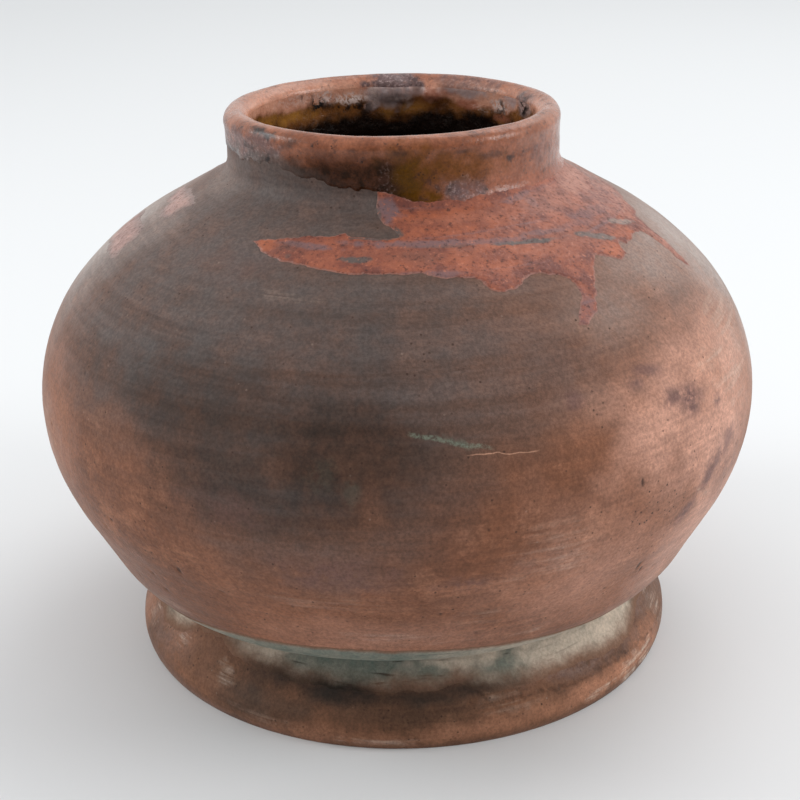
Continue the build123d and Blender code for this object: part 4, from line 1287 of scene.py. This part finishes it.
bowl_back = floor_joint[::-1] + inner_points(belly_drop, base_drop, 14) + belly_joint[::-1][1:-1]
dome_back = inner_points(joint_drop, belly_drop, 12) + neck_joint[::-1][1:-1]
inner_round = [inner_round_centre + INNER_ROUND * unit(180 + SHOULDER_ANGLE * part) for part in (1, 0.5, 0)]
collar_back = [neck_joint[-1]] + inner_round + lip_joint[::-1][:-1]
for name, first, last, step, columns, back in (
    ("lower_bowl", belly_drop, base_drop, BODY_STEP, BODY_COLUMNS, bowl_back),
    ("shoulder_dome", joint_drop, belly_drop, BODY_STEP, BODY_COLUMNS, dome_back),
    ("neck_collar", seat_drop, joint_drop, NECK_STEP, NECK_COLUMNS, collar_back),
    ("lip_coil", inside_drop, seat_drop, NECK_STEP, NECK_COLUMNS, [lip_joint[-1]]),
):
    turned_piece(name, WALL_PATH, skin_rows(first, last, step), columns, wall_relief, back,
                 body_clay, [name], clay_fields)
sole_inner = FOOT_PATH.points[-1][0] - FOOT_SOLE
foot_back = [(sole_inner, 0.0)] + foot_joint[::-1][:-1]
turned_piece("foot_ring", FOOT_PATH, skin_rows(0.0, foot_sole_start, FOOT_STEP), BODY_COLUMNS, foot_relief,
             foot_back, foot_clay, ["foot_ring"], foot_fields, FOOT_SHIFT)

# Lining
inside_back = [(AXIS_GAP, floor_top)] + inner_points(joint_drop, base_drop, 30) + inner_round
inside_back.append((NECK_BORE, lip_centre[1]))
fine_rows = skin_rows(0.0, INSIDE_FINE, NECK_STEP)
coarse_rows = skin_rows(INSIDE_FINE, inside_end, INSIDE_STEP)
turned_piece("lining_glaze", INSIDE_PATH, np.concatenate([fine_rows, coarse_rows[1:]]), INSIDE_COLUMNS,
             inside_relief, inside_back, lining_material("lining_glaze"), ["lining_glaze"],
             inside_fields)

# Coats on the shoulder and the collar
run_sheet = Sheet(WALL_PATH, skin_rows(*RUN_DROPS, COAT_STEP), np.arange(*RUN_ANGLES))
run_distance = region(run_sheet, RUN, RUN_MIDDLE, warp=0.9, size=4.5, seed=61)
run_thick = rounded(run_distance, RUN_THICK, RUN_BEAD) * (0.85 + 0.3 * noise(run_sheet.base, 8, 2, 65))
coat_piece("shoulder_run", run_sheet, wall_relief(run_sheet), run_thick, False,
           run_material("run_glaze", RUN_TONES, edge_width=0.8, thin_share=1.0),
           ["shoulder_run"], run_fields(run_sheet, run_distance))

flake_sheet = Sheet(WALL_PATH, skin_rows(*FLAKE_DROPS, COAT_STEP), np.arange(*FLAKE_ANGLES))
flake_distances = [region(flake_sheet, flake, RUN_MIDDLE, warp=2.0, size=6.0, seed=67) for flake in FLAKES]
flake_distance = np.max(flake_distances, 0)
flake_thick = rounded(flake_distance, FLAKE_THICK, FLAKE_BEAD)
coat_piece("shoulder_flakes", flake_sheet, wall_relief(flake_sheet), flake_thick, False,
           run_material("flake_glaze", FLAKE_TONES, edge_width=5.0, thin_share=0.0),
           ["shoulder_flakes"], run_fields(flake_sheet, flake_distance))

rim_sheet = Sheet(WALL_PATH, skin_rows(inside_drop, RIM_END, RIM_STEP), ring_angles(RIM_COLUMNS))
rim_distance = by_angle(rim_sheet, RIM_EDGE) + 2.2 * noise(rim_sheet.base, 6, 3, 96) - rim_sheet.drop
rim_thick = rounded(rim_distance, RIM_THICK, by_angle(rim_sheet, RIM_BEAD))
rim_thick = rim_thick * (0.9 + 0.2 * noise(rim_sheet.base, 9, 2, 97))
rim_ground = wall_relief(rim_sheet)
rim_seam = smooth_step(inside_drop + SEAM, inside_drop, rim_sheet.drop)
rim_thick = rim_thick + rim_seam * (LINING - rim_ground - rim_thick)
rim_lumps = [(angle, inside_drop - depth, *rest) for angle, depth, *rest in INSIDE_LUMPS]
rim_thick = rim_thick + blots(rim_sheet, rim_lumps, 0.2, 5, 113, 0.0)
coat_piece("rim_glaze", rim_sheet, rim_ground, rim_thick, True, rim_material("rim_glaze"),
           ["rim_glaze"], rim_fields(rim_sheet, rim_distance))

# Crust in the groove: on the edge of the body, and down the foot
crust = lime_material("crevice_lime")
edge_rows = skin_rows(base_drop - EDGE_RISE, base_drop, LIME_STEP)
edge_sheet = Sheet(WALL_PATH, edge_rows, ring_angles(BODY_COLUMNS))
edge_distance = edge_sheet.drop - base_drop + by_angle(edge_sheet, LIME_CLIMB)
edge_distance = edge_distance + 0.8 * noise(edge_sheet.base, 7, 3, 127)
edge_fields = {
    "drop": edge_sheet.drop * MM,
    "edge": edge_distance * EDGE_FADE,
    "green": by_angle(edge_sheet, EDGE_GREEN),
    "cream": by_angle(edge_sheet, EDGE_CREAM),
}
edge_thick = rounded(edge_distance, EDGE_THICK, EDGE_BEAD)
coat_piece("crevice_lime_edge", edge_sheet, wall_relief(edge_sheet), edge_thick, True, crust,
           ["crevice_lime"], edge_fields)
lime_sheet = Sheet(FOOT_PATH, skin_rows(*LIME_DROPS, LIME_STEP), ring_angles(BODY_COLUMNS), FOOT_SHIFT)
lime_distance = by_angle(lime_sheet, LIME_EDGE) + 1.6 * noise(lime_sheet.base, 11, 3, 121) - lime_sheet.drop
crack = smooth_step(0.05, 0.0, np.abs(noise(lime_sheet.rings(), 6, 3, 122)))
crack = crack * blots(lime_sheet, LIME_GREEN, 0.4, 8, 123)
lime_bulk = LIME_THICK + LIME_FILL * np.exp(-np.maximum(lime_sheet.drop, 0) / LIME_FILL_REACH)
lime_bulk = lime_bulk + 0.25 * noise(lime_sheet.base, 5, 3, 124)
lime_thick = rounded(lime_distance, lime_bulk, LIME_BEAD) - CRACK_DEPTH * crack * (lime_distance > 0)
lime_fields = {
    "drop": lime_sheet.drop * MM,
    "edge": lime_distance,
    "crack": crack,
    # The same dark band under the body's edge, smoke with painted shade
    "dim": blots(lime_sheet, FOOT_SMOKE_AND_SHADE, 0.35, 14, 71, 0.0),
    "green": blots(lime_sheet, LIME_GREEN, 0.5, 8, 125),
    "cream": blots(lime_sheet, LIME_CREAM, 0.5, 8, 126),
}
coat_piece("crevice_lime", lime_sheet, foot_relief(lime_sheet), lime_thick, True, crust,
           ["crevice_lime"], lime_fields)

# CAD nodes that stay: the slip rings and the floor disc
SLIP_NODES = ("floor_slip", "belly_slip", "neck_slip", "lip_slip", "foot_slip")
node_materials = dict.fromkeys(SLIP_NODES, slip_material("joint_slip"))
node_materials["floor_disc"] = foot_clay
for node, material in node_materials.items():
    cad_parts[node].data.materials.clear()
    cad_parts[node].data.materials.append(material)

# Floor, light and camera
FLOOR_HALF = 6.0
floor_mesh = bpy.data.meshes.new("studio_floor")
floor_corners = [(x * FLOOR_HALF, y * FLOOR_HALF, 0) for x, y in ((-1, -1), (1, -1), (1, 1), (-1, 1))]
floor_mesh.from_pydata(floor_corners, [], [(0, 1, 2, 3)])
floor = bpy.data.objects.new("studio_floor", floor_mesh)
bpy.context.scene.collection.objects.link(floor)
paper = Graph("studio_paper")
paper.shade(Base_Color=(0.765, 0.785, 0.8, 1), Roughness=0.9)
floor_mesh.materials.append(paper.material)

# White room, darker in front, on the side of the camera
ROOM_LIGHT = 0.92
ROOM_FRONT = 0.29
FRONT_FADE = (-0.95, -0.3)
world = bpy.data.worlds.new("studio")
world.use_nodes = True
room = world.node_tree
direction = room.nodes.new("ShaderNodeTexCoord")
axes = room.nodes.new("ShaderNodeSeparateXYZ")
shade = room.nodes.new("ShaderNodeMapRange")
shade.interpolation_type = "SMOOTHSTEP"
limits = zip(("From Min", "From Max", "To Min", "To Max"), (*FRONT_FADE, ROOM_FRONT, ROOM_LIGHT))
for key, value in limits:
    shade.inputs[key].default_value = value
room.links.new(direction.outputs["Generated"], axes.inputs["Vector"])
room.links.new(axes.outputs["Y"], shade.inputs["Value"])
room.links.new(shade.outputs["Result"], room.nodes["Background"].inputs["Strength"])
room.nodes["Background"].inputs["Color"].default_value = (1.0, 1.0, 1.0, 1)
bpy.context.scene.world = world


def softbox(name, place, target, size, power):
    """A round white light at a place, turned to a target, in metres."""
    light = bpy.data.lights.new(name, "AREA")
    light.shape = "DISK"
    light.size = size
    light.energy = power
    lamp = bpy.data.objects.new(name, light)
    lamp.location = place
    lamp.rotation_mode = "QUATERNION"
    lamp.rotation_quaternion = (Vector(target) - Vector(place)).to_track_quat("-Z", "Y")
    bpy.context.scene.collection.objects.link(lamp)


softbox("key_softbox", (0.9, 1.1, 2.0), (0.0, 0.0, 0.1), 1.8, 14.0)
softbox("right_softbox", (1.3, -0.25, 0.75), (0.0, 0.0, 0.12), 0.6, 5.8)
softbox("left_softbox", (-1.3, 0.1, 0.9), (0.0, 0.0, 0.12), 0.6, 5.0)

camera_data = bpy.data.cameras.new("photo_camera")
camera_data.lens = LENS
camera_data.sensor_width = SENSOR
camera = bpy.data.objects.new("photo_camera", camera_data)
elevation = math.radians(CAMERA_ELEVATION)
back = Vector((0.0, -math.cos(elevation), math.sin(elevation)))
camera.matrix_world = (
    Matrix.Translation(Vector(AIM) + back * CAMERA_DISTANCE)
    @ (-back).to_track_quat("-Z", "Y").to_matrix().to_4x4()
    @ Matrix.Rotation(math.radians(CAMERA_ROLL), 4, "Z")
)
bpy.context.scene.collection.objects.link(camera)
bpy.context.scene.camera = camera
bpy.context.scene.view_settings.view_transform = "Standard"
